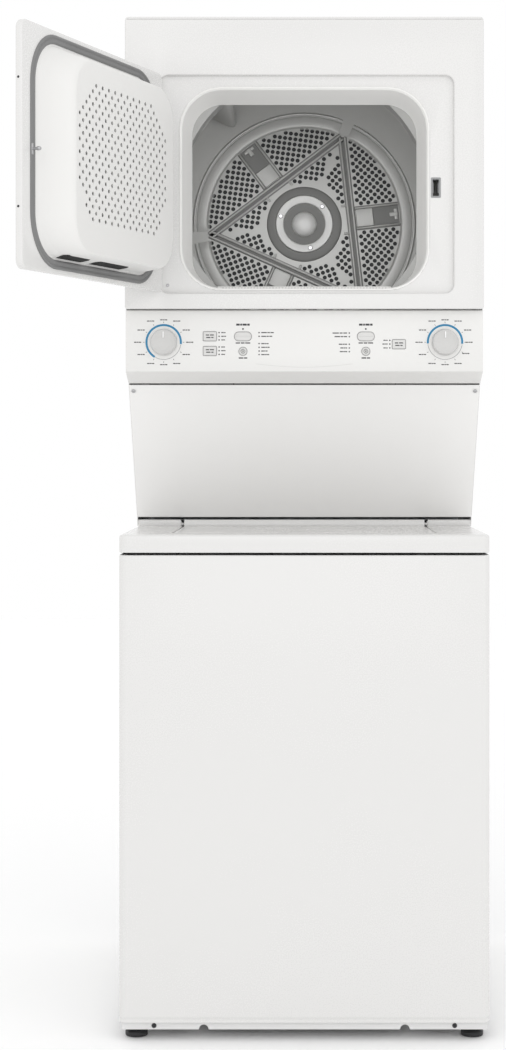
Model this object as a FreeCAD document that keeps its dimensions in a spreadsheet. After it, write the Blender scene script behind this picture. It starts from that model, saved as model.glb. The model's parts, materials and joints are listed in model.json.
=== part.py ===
import FreeCAD, Part
import math, os, re
import Sketcher

# A 27-inch laundry centre: a dryer standing over a top-loading washer in one cabinet.
# Millimetres. X to the right, Y into the depth (the fronts face -Y), Z up from the floor.

os.makedirs("parts", exist_ok=True)
doc = FreeCAD.newDocument("LaundryCentre")
sheet = doc.addObject("Spreadsheet::Sheet", "Sizes")
V = FreeCAD.Vector

SIZES = (
    ("wide", 686, "overall width"),
    ("deep", 800, "overall depth, rear fittings included"),
    ("tall", 1920, "overall height"),
    ("rear_stub", 20, "fittings behind the back panel"),
    ("gauge", 1.2, "sheet steel"),
    ("bend", 15, "outside radius of the front corners"),
    ("foot_high", 18, "foot pad"),
    ("foot_round", 21, "foot pad radius"),
    ("foot_across", 313, "feet from the centre line"),
    ("foot_inset", 45, "feet behind the front and ahead of the back"),
    ("base_top", 34, "top of the base frame"),
    ("deck_top", 935, "washer deck"),
    ("deck_skirt", 33.4, "height of the deck edge"),
    ("deck_gap", 4.6, "shadow gap under the deck"),
    ("lid_half", 248, "half width of the lid"),
    ("lid_deep", 346, "lid from front to back"),
    ("lid_back", 31, "back of the lid from the centre"),
    ("lid_lip", 13, "upstand at the back of the lid"),
    ("lid_skirt", 18, "turned-down edge of the lid"),
    ("pin_thick", 3, "hinge pin radius"),
    ("fit", 0.05, "running fit on a radius"),
    ("tub_y", 70, "wash tub axis ahead of the centre"),
    ("tub_round", 290, "outer tub radius"),
    ("tub_low", 250, "underside of the tub"),
    ("tub_high", 800, "rim of the tub"),
    ("basket_round", 262, "wash basket radius"),
    ("basket_low", 285, "wash basket floor"),
    ("basket_high", 790, "wash basket rim"),
    ("agitator_high", 700, "top of the agitator"),
    ("shaft_thick", 12, "agitator shaft radius"),
    ("sleeve_thick", 20, "gearcase sleeve radius"),
    ("wash_belt_z", 158, "underside of the wash belt"),
    ("drive_round", 70, "large wash pulley radius"),
    ("motor_round", 22, "small wash pulley radius"),
    ("motor_apart", 170, "wash pulley centres"),
    ("dryer_setback", 136, "dryer front behind the washer front"),
    ("console_setback", 152, "console face behind the washer front"),
    ("slope_low_y", 25.3, "foot of the sloped panel"),
    ("slope_low", 954, "foot of the sloped panel"),
    ("slope_high_y", 180, "head of the sloped panel ahead of the centre"),
    ("slope_high", 1218, "head of the sloped panel"),
    ("console_under", 1221, "back of the console underside"),
    ("console_low", 1243, "foot of the console face"),
    ("console_high", 1360, "head of the console face"),
    ("moulding", 3, "console wall"),
    ("lid_plate", 5, "edge of the dryer top panel"),
    ("pocket_left", 277, "door pocket left of the centre"),
    ("pocket_right", 286, "door pocket right of the centre"),
    ("pocket_low", 1391, "foot of the door pocket"),
    ("pocket_high", 1808, "head of the door pocket"),
    ("pocket_deep", 10, "depth of the door pocket"),
    ("mouth_half", 240, "half width of the opening at the front"),
    ("mouth_low", 1397, "foot of the opening"),
    ("mouth_high", 1787, "head of the opening"),
    ("mouth_corner", 82, "corner radius of the opening"),
    ("throat_deep", 60, "depth of the opening ring"),
    ("throat_slope", 17, "slope of the ring, degrees"),
    ("drum_z", 1583, "drum axis"),
    ("drum_round", 313, "drum radius"),
    ("drum_front_y", 160, "drum front ahead of the centre"),
    ("drum_back_y", 296, "drum back behind the centre"),
    ("rim_round", 250, "hole in the drum front"),
    ("spindle_thick", 10, "drum shaft radius"),
    ("rotor_x", 130, "dryer motor right of the centre"),
    ("rotor_z", 1130, "dryer motor height"),
    ("idler_x", 60, "idler left of the centre"),
    ("idler_z", 1140, "idler height"),
    ("idler_round", 25, "idler radius"),
    ("drum_belt_y", 55, "front edge of the drum belt"),
    ("exhaust_round", 50.8, "exhaust outlet radius, four-inch duct"),
    ("hose_round", 13.1, "water inlet radius, three-quarter-inch hose thread"),
    ("drain_round", 14, "drain outlet radius"),
    ("door_thick", 13, "door skin with its folded edge"),
    ("door_gap", 1, "door clear of the pocket all round"),
    ("door_open", 110.5, "door angle as drawn, degrees"),
    ("hinge_x", 279, "door hinge left of the centre"),
    ("hinge_out", 4, "door hinge ahead of the dryer front"),
    ("gasket_in", 22, "gasket in from the pocket on the hinge side"),
    ("gasket_free", 30, "gasket in from the pocket on the free side"),
    ("gasket_end", 9, "gasket in from the pocket at head and foot"),
    ("gasket_wide", 16, "gasket width"),
    ("pan_deep", 50, "door liner depth"),
    ("strike_x", 252, "door strike right of the centre"),
    ("strike_z", 1594, "door strike height"),
    ("filter_half", 160, "half width of the lint filter"),
    ("filter_high", 155, "height of the lint filter"),
    ("knob_x", 270, "knobs either side of the centre"),
    ("knob_z", 1298, "knob height"),
    ("knob_round", 26, "knob radius"),
    ("knob_deep", 18, "knob depth"),
    ("origin_right", 67.88,
     "cabinet centre right of the origin, which is under the middle of the whole with its door open"),
    ("origin_back", 200, "cabinet centre behind the origin"),
    ("button_out", 1.8, "button ahead of the console face"),
)
for row, (alias, value, note) in enumerate(SIZES, 1):
    sheet.set("A%d" % row, alias)
    sheet.set("B%d" % row, str(value))
    sheet.set("C%d" % row, note)
    sheet.setAlias("B%d" % row, alias)
doc.recompute()

WORD = re.compile(r"[a-z][a-z0-9_]*")
ALIASES = {alias for alias, value, note in SIZES}
NODES = {}

# Planes of the assembly that many parts share, written as formulas.
HALF = "wide / 2"
INNER = "(wide / 2 - gauge)"
FRONT = "(0 - deep / 2)"
BACK = "(deep / 2 - rear_stub)"
DRYER_FRONT = "(dryer_setback - deep / 2)"
CONSOLE_FRONT = "(console_setback - deep / 2)"
POCKET_FLOOR = "(dryer_setback - deep / 2 + pocket_deep)"
THROAT_END = "(dryer_setback - deep / 2 + pocket_deep + throat_deep)"
PANEL_HIGH = "(deck_top - deck_skirt - deck_gap)"
HINGE_Y = "(dryer_setback - deep / 2 - hinge_out)"


def link(item, prop, formula):
    named = WORD.sub(lambda m: ("Sizes." if m.group(0) in ALIASES else "") + m.group(0), str(formula))
    item.setExpression(prop, named)


def size(alias):
    return float(getattr(sheet, alias))


def place(item, at):
    for axis, formula in zip("xyz", at):
        link(item, "Placement.Base." + axis, formula)
    return item


def aim(item, axis):
    turn = {"x": (V(0, 1, 0), 90), "y": (V(1, 0, 0), -90), "z": (V(0, 0, 1), 0)}[axis]
    item.Placement = FreeCAD.Placement(V(0, 0, 0), FreeCAD.Rotation(*turn))


def box(name, low, span):
    item = doc.addObject("Part::Box", name)
    for prop, formula in zip(("Length", "Width", "Height"), span):
        link(item, prop, formula)
    return place(item, low)


def rod(name, radius, length, at, axis="z"):
    item = doc.addObject("Part::Cylinder", name)
    aim(item, axis)
    link(item, "Radius", radius)
    link(item, "Height", length)
    return place(item, at)


def cone(name, start, end, length, at, axis="z"):
    item = doc.addObject("Part::Cone", name)
    aim(item, axis)
    link(item, "Radius1", start)
    link(item, "Radius2", end)
    link(item, "Height", length)
    return place(item, at)


def fuse(name, *shapes):
    item = doc.addObject("Part::MultiFuse", name)
    item.Shapes = list(shapes)
    return item


def cut(name, base, *tools):
    item = doc.addObject("Part::Cut", name)
    item.Base = base
    item.Tool = tools[0] if len(tools) == 1 else fuse(name + "_tools", *tools)
    return item


def ring(name, outer, inner, length, at, axis="z"):
    bore = rod(name + "_bore", inner, length, at, axis)
    return cut(name, rod(name + "_blank", outer, length, at, axis), bore)


def turned(name, source, angle, at, axis=V(0, 1, 0)):
    """The same shape again, turned about an axis through a point of the assembly."""
    item = doc.addObject("Part::Compound", name)
    item.Links = [source]
    item.Placement = FreeCAD.Placement(V(0, 0, 0), FreeCAD.Rotation(axis, angle))
    return place(item, at)


def profile(name, plane, corners, start, length, taper=None):
    """A closed outline on one of the body's own planes, carried along the plane's axis."""
    body = doc.addObject("PartDesign::Body", name)
    sketch = body.newObject("Sketcher::SketchObject", name + "_outline")
    sketch.AttachmentSupport = [(next(f for f in body.Origin.OriginFeatures if f.Role == plane), "")]
    sketch.MapMode = "FlatFace"
    count = len(corners)
    ring_at = [V(50 * math.cos(2 * math.pi * i / count), 50 * math.sin(2 * math.pi * i / count), 0)
               for i in range(count)]
    for i in range(count):
        sketch.addGeometry(Part.LineSegment(ring_at[i], ring_at[(i + 1) % count]), False)
    for i in range(count):
        sketch.addConstraint(Sketcher.Constraint("Coincident", i, 2, (i + 1) % count, 1))
    for i, (across, up) in enumerate(corners):
        for kind, start_value, formula in (("DistanceX", ring_at[i].x, across),
                                           ("DistanceY", ring_at[i].y, up)):
            index = sketch.addConstraint(Sketcher.Constraint(kind, -1, 1, i, 1, start_value))
            link(sketch, "Constraints[%d]" % index, formula)
    link(sketch, "AttachmentOffset.Base.z", "0 - (%s)" % start if plane == "XZ_Plane" else start)
    pad = body.newObject("PartDesign::Pad", name + "_pad")
    pad.Profile = sketch
    pad.Reversed = plane == "XZ_Plane"
    link(pad, "Length", length)
    if taper:
        link(pad, "TaperAngle", taper)
    body.Tip = pad
    return body


def soften(body, radius, axis, wanted=None):
    """Round the edges of a body that run along one axis."""
    doc.recompute()
    tip = body.Tip
    chosen = []
    for number, edge in enumerate(tip.Shape.Edges, 1):
        run = edge.Vertexes[-1].Point - edge.Vertexes[0].Point
        along = abs(getattr(run, axis)) > 0.8 * run.Length and run.Length > 1e-6
        if along and (wanted is None or wanted(edge.CenterOfMass)):
            chosen.append("Edge%d" % number)
    fillet = body.newObject("PartDesign::Fillet", body.Name + "_round")
    fillet.Base = (tip, chosen)
    link(fillet, "Radius", radius)
    body.Tip = fillet
    return body


def slab(name, plane, low, high, start, length, corner=None, taper=None, wanted=None):
    corners = (low, (high[0], low[1]), high, (low[0], high[1]))
    body = profile(name, plane, corners, start, length, taper)
    axis = {"XY_Plane": "z", "XZ_Plane": "y", "YZ_Plane": "x"}[plane]
    return soften(body, corner, axis, wanted) if corner else body


def node(item):
    NODES[item.Name] = item
    item.Label = item.Name
    return item


def belt(name, wheels, thick, low, length, axis):
    """A flat loop laid tightly round circles given in turning order, as numbers from the sheet."""
    def loop(grow):
        edges = []
        count = len(wheels)
        touch = []
        for i in range(count):
            (ax, ay, ar), (bx, by, br) = wheels[i], wheels[(i + 1) % count]
            heading = math.atan2(by - ay, bx - ax)
            lean = math.acos((ar - br) / math.hypot(bx - ax, by - ay))
            out = heading - lean
            side = V(math.cos(out), math.sin(out), 0)
            touch.append((V(ax, ay, 0) + side * (ar + grow), V(bx, by, 0) + side * (br + grow), out))
        for i in range(count):
            x, y, r = wheels[i]
            first, last = touch[i - 1][2], touch[i][2]
            while last < first:
                last += 2 * math.pi
            middle = (first + last) / 2
            top = V(x, y, 0) + V(math.cos(middle), math.sin(middle), 0) * (r + grow)
            edges.append(Part.Arc(touch[i - 1][1], top, touch[i][0]).toShape())
            edges.append(Part.LineSegment(touch[i][0], touch[i][1]).toShape())
        return Part.Face(Part.Wire(edges))
    shape = loop(thick).cut(loop(0)).extrude(V(0, 0, length))
    item = doc.addObject("Part::Feature", name)
    item.Shape = shape
    turn = FreeCAD.Rotation(V(1, 0, 0), 90) if axis == "y" else FreeCAD.Rotation()
    item.Placement = FreeCAD.Placement(V(0, low + length, 0) if axis == "y" else V(0, 0, low), turn)
    return item


# ---------------------------------------------------------------- washer cabinet
front_shell = slab("front_shell", "XY_Plane", ("0 - " + HALF, FRONT), (HALF, FRONT + " + 22"), "base_top",
                   PANEL_HIGH + " - base_top", "bend", wanted=lambda c: c.y < -size("deep") / 2 + 5)
front_hollow = slab("front_hollow", "XY_Plane", ("0 - " + INNER, FRONT + " + gauge"),
                    (INNER, FRONT + " + 30"),
                    "base_top - 1", PANEL_HIGH + " - base_top + 2", "bend - gauge",
                    wanted=lambda c: c.y < -size("deep") / 2 + 5)
node(cut("washer_front_panel", front_shell, front_hollow))

for word, low_x in (("left", "0 - " + HALF), ("right", INNER)):
    node(box("washer_side_" + word, (low_x, FRONT + " + 22.3", "base_top"),
             ("gauge", BACK + " - " + FRONT + " - 22.6 - gauge", PANEL_HIGH + " - base_top")))

back_sheet = box("back_sheet", ("0 - " + HALF, BACK + " - gauge", "base_top"),
                 ("wide", "gauge", PANEL_HIGH + " - base_top"))
valve_holes = [rod("valve_hole_%d" % i, "hose_round + 1", "40", (x, BACK + " - 20", "840"), "y")
               for i, x in enumerate(("175", "225"))]
drain_hole = rod("drain_hole", "drain_round + 1", "40", ("0 - 200", BACK + " - 20", "90"), "y")
node(cut("washer_back_panel", back_sheet, drain_hole, *valve_holes))

frame_block = box("frame_block", ("5 - " + HALF, FRONT + " + 8", "base_top - 14"),
                  ("wide - 10", BACK + " - " + FRONT + " - 16", "14"))
frame_hollow = box("frame_hollow", ("45 - " + HALF, FRONT + " + 48", "base_top - 20"),
                   ("wide - 90", BACK + " - " + FRONT + " - 96", "30"))
FEET = [(x, y) for x in ("0 - foot_across", "foot_across")
        for y in (FRONT + " + foot_inset", BACK + " - foot_inset")]
stem_holes = [rod("stem_hole_%d" % i, "5 + fit", "30", (x, y, "base_top - 20"))
              for i, (x, y) in enumerate(FEET)]
notches = [rod("frame_notch_%d" % i, "9", "20", (x, FRONT + " + 5", "base_top - 14"), "y")
           for i, x in enumerate(("0 - 186", "186"))]
tub_rails = [box("tub_rail_%d" % i, (x, FRONT + " + 40", "base_top - 10"),
                 ("36", BACK + " - " + FRONT + " - 80", "8")) for i, x in enumerate(("0 - 218", "182"))]
channel_block = box("channel_block", ("5 + gauge - " + HALF, FRONT + " + 8 + gauge", "base_top - 15"),
                    ("wide - 10 - 2 * gauge", BACK + " - " + FRONT + " - 16 - 2 * gauge", "15 - gauge"))
channel_core = box("channel_core", ("45 - gauge - " + HALF, FRONT + " + 48 - gauge", "base_top - 20"),
                   ("wide - 90 + 2 * gauge", BACK + " - " + FRONT + " - 96 + 2 * gauge", "30"))
channel = cut("channel", channel_block, channel_core)
node(fuse("base_frame", cut("frame_ring", frame_block, frame_hollow, channel, *stem_holes, *notches),
          *tub_rails))
pads = []
for i, (x, y) in enumerate(FEET):
    pads += [rod("foot_pad_%d" % i, "foot_round", "foot_high", (x, y, "0")),
             rod("foot_stem_%d" % i, "5", "50", (x, y, "foot_high - 1"))]
node(fuse("leveling_feet", *pads))

# ---------------------------------------------------------------- deck and lid
deck_block = slab("deck_block", "XY_Plane", ("0 - " + HALF, FRONT), (HALF, BACK), "deck_top - deck_skirt",
                  "deck_skirt", "bend", wanted=lambda c: c.y < 0)
deck_hollow = slab("deck_hollow", "XY_Plane", ("2 - " + HALF, FRONT + " + 2"), (HALF + " - 2", BACK + " - 2"),
                   "deck_top - deck_skirt - 1", "deck_skirt - 1", "bend - 2", wanted=lambda c: c.y < 0)
deck_lip = slab("deck_lip", "XY_Plane", ("0 - " + INNER, FRONT + " + gauge"), (INNER, BACK + " - gauge"),
                "deck_top - deck_skirt - 16", "18", "bend - gauge", wanted=lambda c: c.y < 0)
lip_hollow = slab("lip_hollow", "XY_Plane", ("2 - " + INNER, FRONT + " + gauge + 2"),
                  (INNER + " - 2", BACK + " - gauge - 2"), "deck_top - deck_skirt - 17", "20",
                  "bend - 4", wanted=lambda c: c.y < 0)
LID_FRONT = "(lid_back - lid_deep)"
tray = box("tray", ("0 - lid_half - 4", LID_FRONT + " - 4", "deck_top - 25"),
           ("2 * lid_half + 8", "lid_deep + 35", "25"))
tray_hollow = box("tray_hollow", ("0 - lid_half - 2", LID_FRONT + " - 2", "deck_top - 23"),
                  ("2 * lid_half + 4", "lid_deep + 31", "40"))
tub_mouth = slab("tub_mouth", "XY_Plane", ("0 - 190", LID_FRONT + " + 30"), ("190", "lid_back - 20"),
                 "deck_top - 40", "30", "60")
deck_shell = cut("deck_shell", deck_block, deck_hollow)
risers = [box("riser_" + word, (x, "lid_back - 1", "deck_top - 1"),
              (INNER + " - lid_half - 5.3", "2", "lid_lip + 1"))
          for word, x in (("left", "0.3 - " + INNER), ("right", "lid_half + 5"))]

lid_block = slab("lid_block", "XY_Plane", ("0 - lid_half", LID_FRONT), ("lid_half", "lid_back"),
                 "deck_top - lid_skirt", "lid_skirt", "6", wanted=lambda c: c.y < 0)
lid_hollow = slab("lid_hollow", "XY_Plane", ("2 - lid_half", LID_FRONT + " + 2"),
                  ("lid_half - 2", "lid_back - 2"),
                  "deck_top - lid_skirt - 1", "lid_skirt - 1", "4", wanted=lambda c: c.y < 0)
lip = box("lid_upstand", ("0 - lid_half", "lid_back - 2", "deck_top - 2"),
          ("2 * lid_half", "2", "lid_lip + 2"))
ears = [box("lid_ear_%d" % i, (x, "lid_back - 1", "deck_top - 12"), ("8", "11", "21"))
        for i, x in enumerate(("0 - lid_half + 12", "lid_half - 20"))]
LID_AXIS = ("lid_back + 5", "deck_top + 3.6")
ear_bore = rod("ear_bore", "pin_thick + fit", "wide", ("0 - wide / 2",) + LID_AXIS, "x")
node(cut("washer_lid", fuse("lid_whole", cut("lid_shell", lid_block, lid_hollow), lip, *ears), ear_bore))
pins = []
for word, pin_x, lug_x in (("left", "0 - lid_half - 14", "0 - lid_half - 16"),
                           ("right", "lid_half - 22", "lid_half + 4")):
    pins += [rod("lid_pin_" + word, "pin_thick", "36", (pin_x,) + LID_AXIS, "x"),
             box("lid_lug_" + word, (lug_x, "lid_back + 1", "deck_top"), ("12", "12", "10"))]
deck_whole = cut("deck_whole", fuse("deck_solid", deck_shell, cut("lip_ring", deck_lip, lip_hollow), tray,
                                    *risers),
                 tray_hollow, tub_mouth)
node(fuse("washer_top_deck", deck_whole, *pins))

# ---------------------------------------------------------------- wash unit
AXIS = ("0", "0 - tub_y")
tub_wall = ring("tub_wall", "tub_round", "tub_round - 3", "tub_high - tub_low", AXIS + ("tub_low",))
tub_floor = ring("tub_floor", "tub_round - 1", "sleeve_thick + 1.5", "4", AXIS + ("tub_low",))
ear_blank = box("tub_ear_blank", ("tub_round - 2", "0 - 20", "0"), ("90", "40", "12"))
ear_hole = rod("tub_ear_hole", "4.3", "20", ("tub_round + 65", "0", "0 - 4"))
tub_ear = cut("tub_ear", ear_blank, ear_hole)
tub_ears = [turned("tub_ear_%d" % a, tub_ear, a, AXIS + ("tub_low + 60",), V(0, 0, 1)) for a in (41, 139,
                                                                                                 221, 319)]
node(fuse("outer_tub", tub_wall, tub_floor, *tub_ears))
node(ring("tub_cover_ring", "tub_round", "215", "14", AXIS + ("tub_high",)))
basket_wall = ring("basket_wall", "basket_round", "basket_round - 1.2", "basket_high - basket_low",
                   AXIS + ("basket_low",))
basket_floor = ring("basket_floor", "basket_round - 1", "sleeve_thick + fit", "3", AXIS + ("basket_low",))
basket_hub = ring("basket_hub", "45", "sleeve_thick + fit", "20", AXIS + ("basket_low - 10",))
balance = ring("balance_ring", "basket_round - 1", "basket_round - 26", "30", AXIS + ("basket_high - 30",))
node(fuse("wash_basket", basket_wall, basket_floor, basket_hub, balance))

column = cone("agitator_column", "62", "40", "agitator_high - basket_low - 55", AXIS + ("basket_low + 55",))
flare = cone("agitator_flare", "190", "62", "40", AXIS + ("basket_low + 16",))
cap = cone("agitator_cap", "40", "26", "14", AXIS + ("agitator_high",))
fin_blank = box("fin_blank", ("30", "0 - 6", "0"), ("120", "12", "210"))
fin = cut("fin", fin_blank, cone("fin_relief", "0", "200", "400", ("230", "0", "20")))
fins = [turned("agitator_fin_%d" % a, fin, a, AXIS + ("basket_low + 25",), V(0, 0, 1)) for a in (0, 90,
                                                                                                 180, 270)]
shaft_bore = rod("shaft_bore", "shaft_thick + fit", "agitator_high", AXIS + ("0",))
node(cut("agitator", fuse("agitator_whole", column, flare, cap, *fins), shaft_bore))
node(rod("drive_shaft", "shaft_thick", "agitator_high - 148", AXIS + ("145",)))
case_drum = rod("case_drum", "58", "50", AXIS + ("tub_low - 54",))
case_foot = rod("case_foot", "90", "5", AXIS + ("tub_low - 5",))
sleeve = rod("case_sleeve", "sleeve_thick", "basket_low + 14 - tub_low", AXIS + ("tub_low - 4",))
node(cut("gearcase", fuse("case_whole", case_drum, case_foot, sleeve),
         rod("case_bore", "shaft_thick + fit", "200", AXIS + ("tub_low - 80",))))
wheel = rod("drive_wheel", "drive_round + 3", "18", AXIS + ("wash_belt_z - 3",))
wheel_groove = ring("drive_groove", "drive_round + 8", "drive_round", "12.6", AXIS + ("wash_belt_z - 0.3",))
node(cut("drive_pulley", wheel, wheel_groove,
         rod("drive_bore", "shaft_thick + fit", "40", AXIS + ("wash_belt_z - 20",))))
MOTOR = ("motor_apart", "0 - tub_y")
motor_can = rod("motor_can", "58", "62", MOTOR + ("tub_low - 68",))
motor_flange = rod("motor_flange", "66", "6", MOTOR + ("tub_low - 6",))
node(cut("wash_motor", fuse("motor_whole", motor_can, motor_flange),
         rod("motor_bore", "6 + fit", "80", MOTOR + ("tub_low - 80",))))
small_wheel = rod("small_wheel", "motor_round + 3", "18", MOTOR + ("wash_belt_z - 3",))
small_groove = ring("small_groove", "motor_round + 8", "motor_round", "12.6", MOTOR + ("wash_belt_z - 0.3",))
rotor = rod("wash_rotor", "6", "90", MOTOR + ("wash_belt_z - 8",))
node(fuse("motor_pulley", cut("small_pulley", small_wheel, small_groove), rotor))
node(belt("wash_belt", [(0, -size("tub_y"), size("drive_round") + 0.3),
                        (size("motor_apart"), -size("tub_y"), size("motor_round") + 0.3)],
          4, size("wash_belt_z"), 12, "z"))
RODS = [turned("rod_%d" % a, rod("rod_blank_%d" % a, "4", "deck_top - tub_low - 100",
                                 ("tub_round + 65", "0", "0")),
               a, AXIS + ("tub_low + 45",), V(0, 0, 1)) for a in (41, 139, 221, 319)]
SPRINGS = [turned("spring_%d" % a, rod("spring_blank_%d" % a, "13", "70", ("tub_round + 65", "0", "0 - 70")),
                  a, AXIS + ("tub_low + 59.5",), V(0, 0, 1)) for a in (41, 139, 221, 319)]
node(fuse("suspension_rods", *RODS, *SPRINGS))
pump_can = rod("pump_can", "42", "90", ("0 - 200", "250", "base_top + 8"))
pump_foot = box("pump_foot", ("0 - 245", "205", "base_top - 2"), ("90", "90", "12"))
spout = ring("drain_spout", "drain_round - 1", "drain_round - 2.5", BACK + " - 284",
             ("0 - 200", "285", "90"), "y")
outlet = ring("drain_outlet", "drain_round", "drain_round - 2.5", "rear_stub - 1",
              ("0 - 200", BACK + " + 1", "90"), "y")
node(fuse("drain_pump", pump_can, pump_foot, spout, outlet))
valve_block = box("valve_block", ("150", BACK + " - gauge - 46", "820"), ("100", "45", "40"))
inlets = []
for i, x in enumerate(("175", "225")):
    inlets += [ring("inlet_%d" % i, "hose_round", "hose_round - 4", "rear_stub - 1",
                    (x, BACK + " + 1", "840"), "y"),
               ring("neck_%d" % i, "hose_round - 1", "hose_round - 4", "gauge + 4",
                    (x, BACK + " - gauge - 3", "840"), "y")]
node(fuse("water_valve", valve_block, *inlets))

# ---------------------------------------------------------------- upper cabinet
side_outline = (("slope_low_y + 5", "deck_top"), ("slope_low_y", "slope_low"),
                ("0 - slope_high_y", "slope_high"), ("0 - slope_high_y", "console_high + 1"),
                (DRYER_FRONT + " + 18.3", "console_high + 1"), (DRYER_FRONT + " + 18.3", "tall - lid_plate"),
                (BACK + " - gauge", "tall - lid_plate"), (BACK + " - gauge", "deck_top"))
node(profile("upper_side_left", "YZ_Plane", side_outline, "0 - " + HALF, "gauge"))
node(profile("upper_side_right", "YZ_Plane", side_outline, INNER, "gauge"))
upper_sheet = box("upper_sheet", ("0 - " + HALF, BACK + " - gauge", "deck_top"),
                  ("wide", "gauge", "tall - lid_plate - deck_top"))
node(cut("upper_back_panel", upper_sheet,
         rod("exhaust_hole", "exhaust_round + 0.7", "40", ("rotor_x", BACK + " - 20", "rotor_z"), "y")))
top_block = slab("top_block", "XY_Plane", ("0 - " + HALF, DRYER_FRONT), (HALF, BACK), "tall - lid_plate",
                 "lid_plate", "10", wanted=lambda c: c.y < 0)
top_hollow = slab("top_hollow", "XY_Plane", ("2 - " + HALF, DRYER_FRONT + " + 2"),
                  (HALF + " - 2", BACK + " - 2"),
                  "tall - lid_plate - 1", "lid_plate - 0.6", "8", wanted=lambda c: c.y < 0)
node(cut("dryer_top_panel", top_block, top_hollow))
slope = profile("sloped_panel", "YZ_Plane",
                (("slope_low_y", "slope_low"), ("0 - slope_high_y", "slope_high"),
                 ("0 - slope_high_y + 0.95", "slope_high + 0.74"), ("slope_low_y + 0.95", "slope_low + 0.74"),
                 ("slope_low_y + 30", "slope_low + 0.74"),
                 ("slope_low_y + 30", "slope_low - 0.4"), ("slope_low_y + 0.3", "slope_low - 0.4")),
                "0 - " + INNER, "wide - 2 * gauge")
node(slope)

face_block = slab("face_block", "XY_Plane", ("0 - " + HALF, DRYER_FRONT), (HALF, DRYER_FRONT + " + 18"),
                  "console_high + 1", "tall - lid_plate - console_high - 1", "10",
                  wanted=lambda c: c.y < -size("deep") / 2 + size("dryer_setback") + 5)
face_hollow = slab("face_hollow", "XY_Plane", ("0 - " + INNER, DRYER_FRONT + " + gauge"),
                   (INNER, DRYER_FRONT + " + 30"), "console_high", "tall - lid_plate - console_high + 2", "9",
                   wanted=lambda c: c.y < -size("deep") / 2 + size("dryer_setback") + 5)
pocket_wall = slab("pocket_wall", "XZ_Plane", ("0 - pocket_left - gauge", "pocket_low - gauge"),
                   ("pocket_right + gauge", "pocket_high + gauge"), DRYER_FRONT, "pocket_deep + gauge",
                   "17 + gauge")
pocket = slab("pocket", "XZ_Plane", ("0 - pocket_left", "pocket_low"), ("pocket_right", "pocket_high"),
              DRYER_FRONT + " - 1", "pocket_deep + 1", "17")
mouth = slab("mouth", "XZ_Plane", ("0 - mouth_half", "mouth_low"), ("mouth_half", "mouth_high"),
             DRYER_FRONT, "40", "mouth_corner")
catch_slot = box("catch_slot", ("strike_x - 7", DRYER_FRONT, "strike_z - 17"), ("14", "40", "34"))
KNUCKLES = ("pocket_low + 55", "pocket_high - 95")
knuckle_grooves = [rod("knuckle_groove_%d" % i, "pin_thick + 3", "42", ("0 - hinge_x", HINGE_Y, z + " - 1"))
                   for i, z in enumerate(KNUCKLES)]
node(cut("dryer_front_panel", fuse("face_whole", cut("face_shell", face_block, face_hollow), pocket_wall),
         pocket, mouth, catch_slot, *knuckle_grooves))

def funnel(name, low, high, start, length, corner):
    """A rounded rectangle drawn in evenly as it runs back: two crossed wedges and a cone at each corner."""
    end, draw = "%s + %s" % (start, length), "(%s) * tan(throat_slope * 1deg)" % length
    (left, foot), (right, head) = low, high
    across = profile(name + "_across", "XY_Plane",
                     ((left, start), (right, start), ("%s - %s" % (right, draw), end),
                      ("%s + %s" % (left, draw), end)),
                     "%s + %s" % (foot, corner), "(%s) - (%s) - 2 * (%s)" % (head, foot, corner))
    upright = profile(name + "_upright", "YZ_Plane",
                      ((start, foot), (end, "%s + %s" % (foot, draw)), (end, "%s - %s" % (head, draw)),
                       (start, head)),
                      "%s + %s" % (left, corner), "(%s) - (%s) - 2 * (%s)" % (right, left, corner))
    corners = [cone("%s_corner_%d" % (name, i), corner, "%s - %s" % (corner, draw), length, (x, start, z),
                    "y")
               for i, (x, z) in enumerate((x, z) for x in ("%s + %s" % (left, corner),
                                                           "%s - (%s)" % (right, corner))
                                          for z in ("%s + %s" % (foot, corner),
                                                    "%s - (%s)" % (head, corner)))]
    return fuse(name, across, upright, *corners)


throat = funnel("throat", ("0.2 - mouth_half", "mouth_low + 0.2"), ("mouth_half - 0.2", "mouth_high - 0.2"),
                POCKET_FLOOR, "throat_deep", "mouth_corner")
throat_hollow = funnel("throat_hollow", ("3 - mouth_half", "mouth_low + 3"),
                       ("mouth_half - 3", "mouth_high - 3"),
                       POCKET_FLOOR + " - 0.01", "throat_deep + 0.02", "(mouth_corner - 4)")
filter_slot = box("filter_slot", ("0 - filter_half - 1", THROAT_END + " - 19", "mouth_low - 20"),
                  ("2 * filter_half + 2", "14", "60"))
node(cut("opening_bezel", throat, throat_hollow, filter_slot))

# ---------------------------------------------------------------- dryer drum and its bulkheads
bulk_sheet = box("bulk_sheet", ("4 - " + INNER, THROAT_END + " + 0.3", "drum_z - 320"),
                 ("2 * " + INNER + " - 8", "2", "tall - lid_plate - drum_z + 316"))
bulk_collar = ring("bulk_collar", "rim_round - 4", "rim_round - 7",
                   THROAT_END + " * (0 - 1) - drum_front_y + 14",
                   ("0", THROAT_END + " + 1", "drum_z"), "y")
bulk_hole = rod("bulk_hole", "rim_round - 7", "20", ("0", THROAT_END + " - 5", "drum_z"), "y")
node(fuse("front_bulkhead", cut("bulk_plate", bulk_sheet, bulk_hole), bulk_collar))
shell_tube = ring("shell_tube", "drum_round", "drum_round - 1", "drum_back_y + drum_front_y",
                  ("0", "0 - drum_front_y", "drum_z"), "y")
shell_rim = ring("shell_rim", "drum_round - 0.5", "rim_round", "1.5", ("0", "0 - drum_front_y", "drum_z"),
                 "y")
node(fuse("drum_shell", shell_tube, shell_rim))
back_disc = rod("back_disc", "drum_round", "2", ("0", "drum_back_y + 0.1", "drum_z"), "y")
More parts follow.
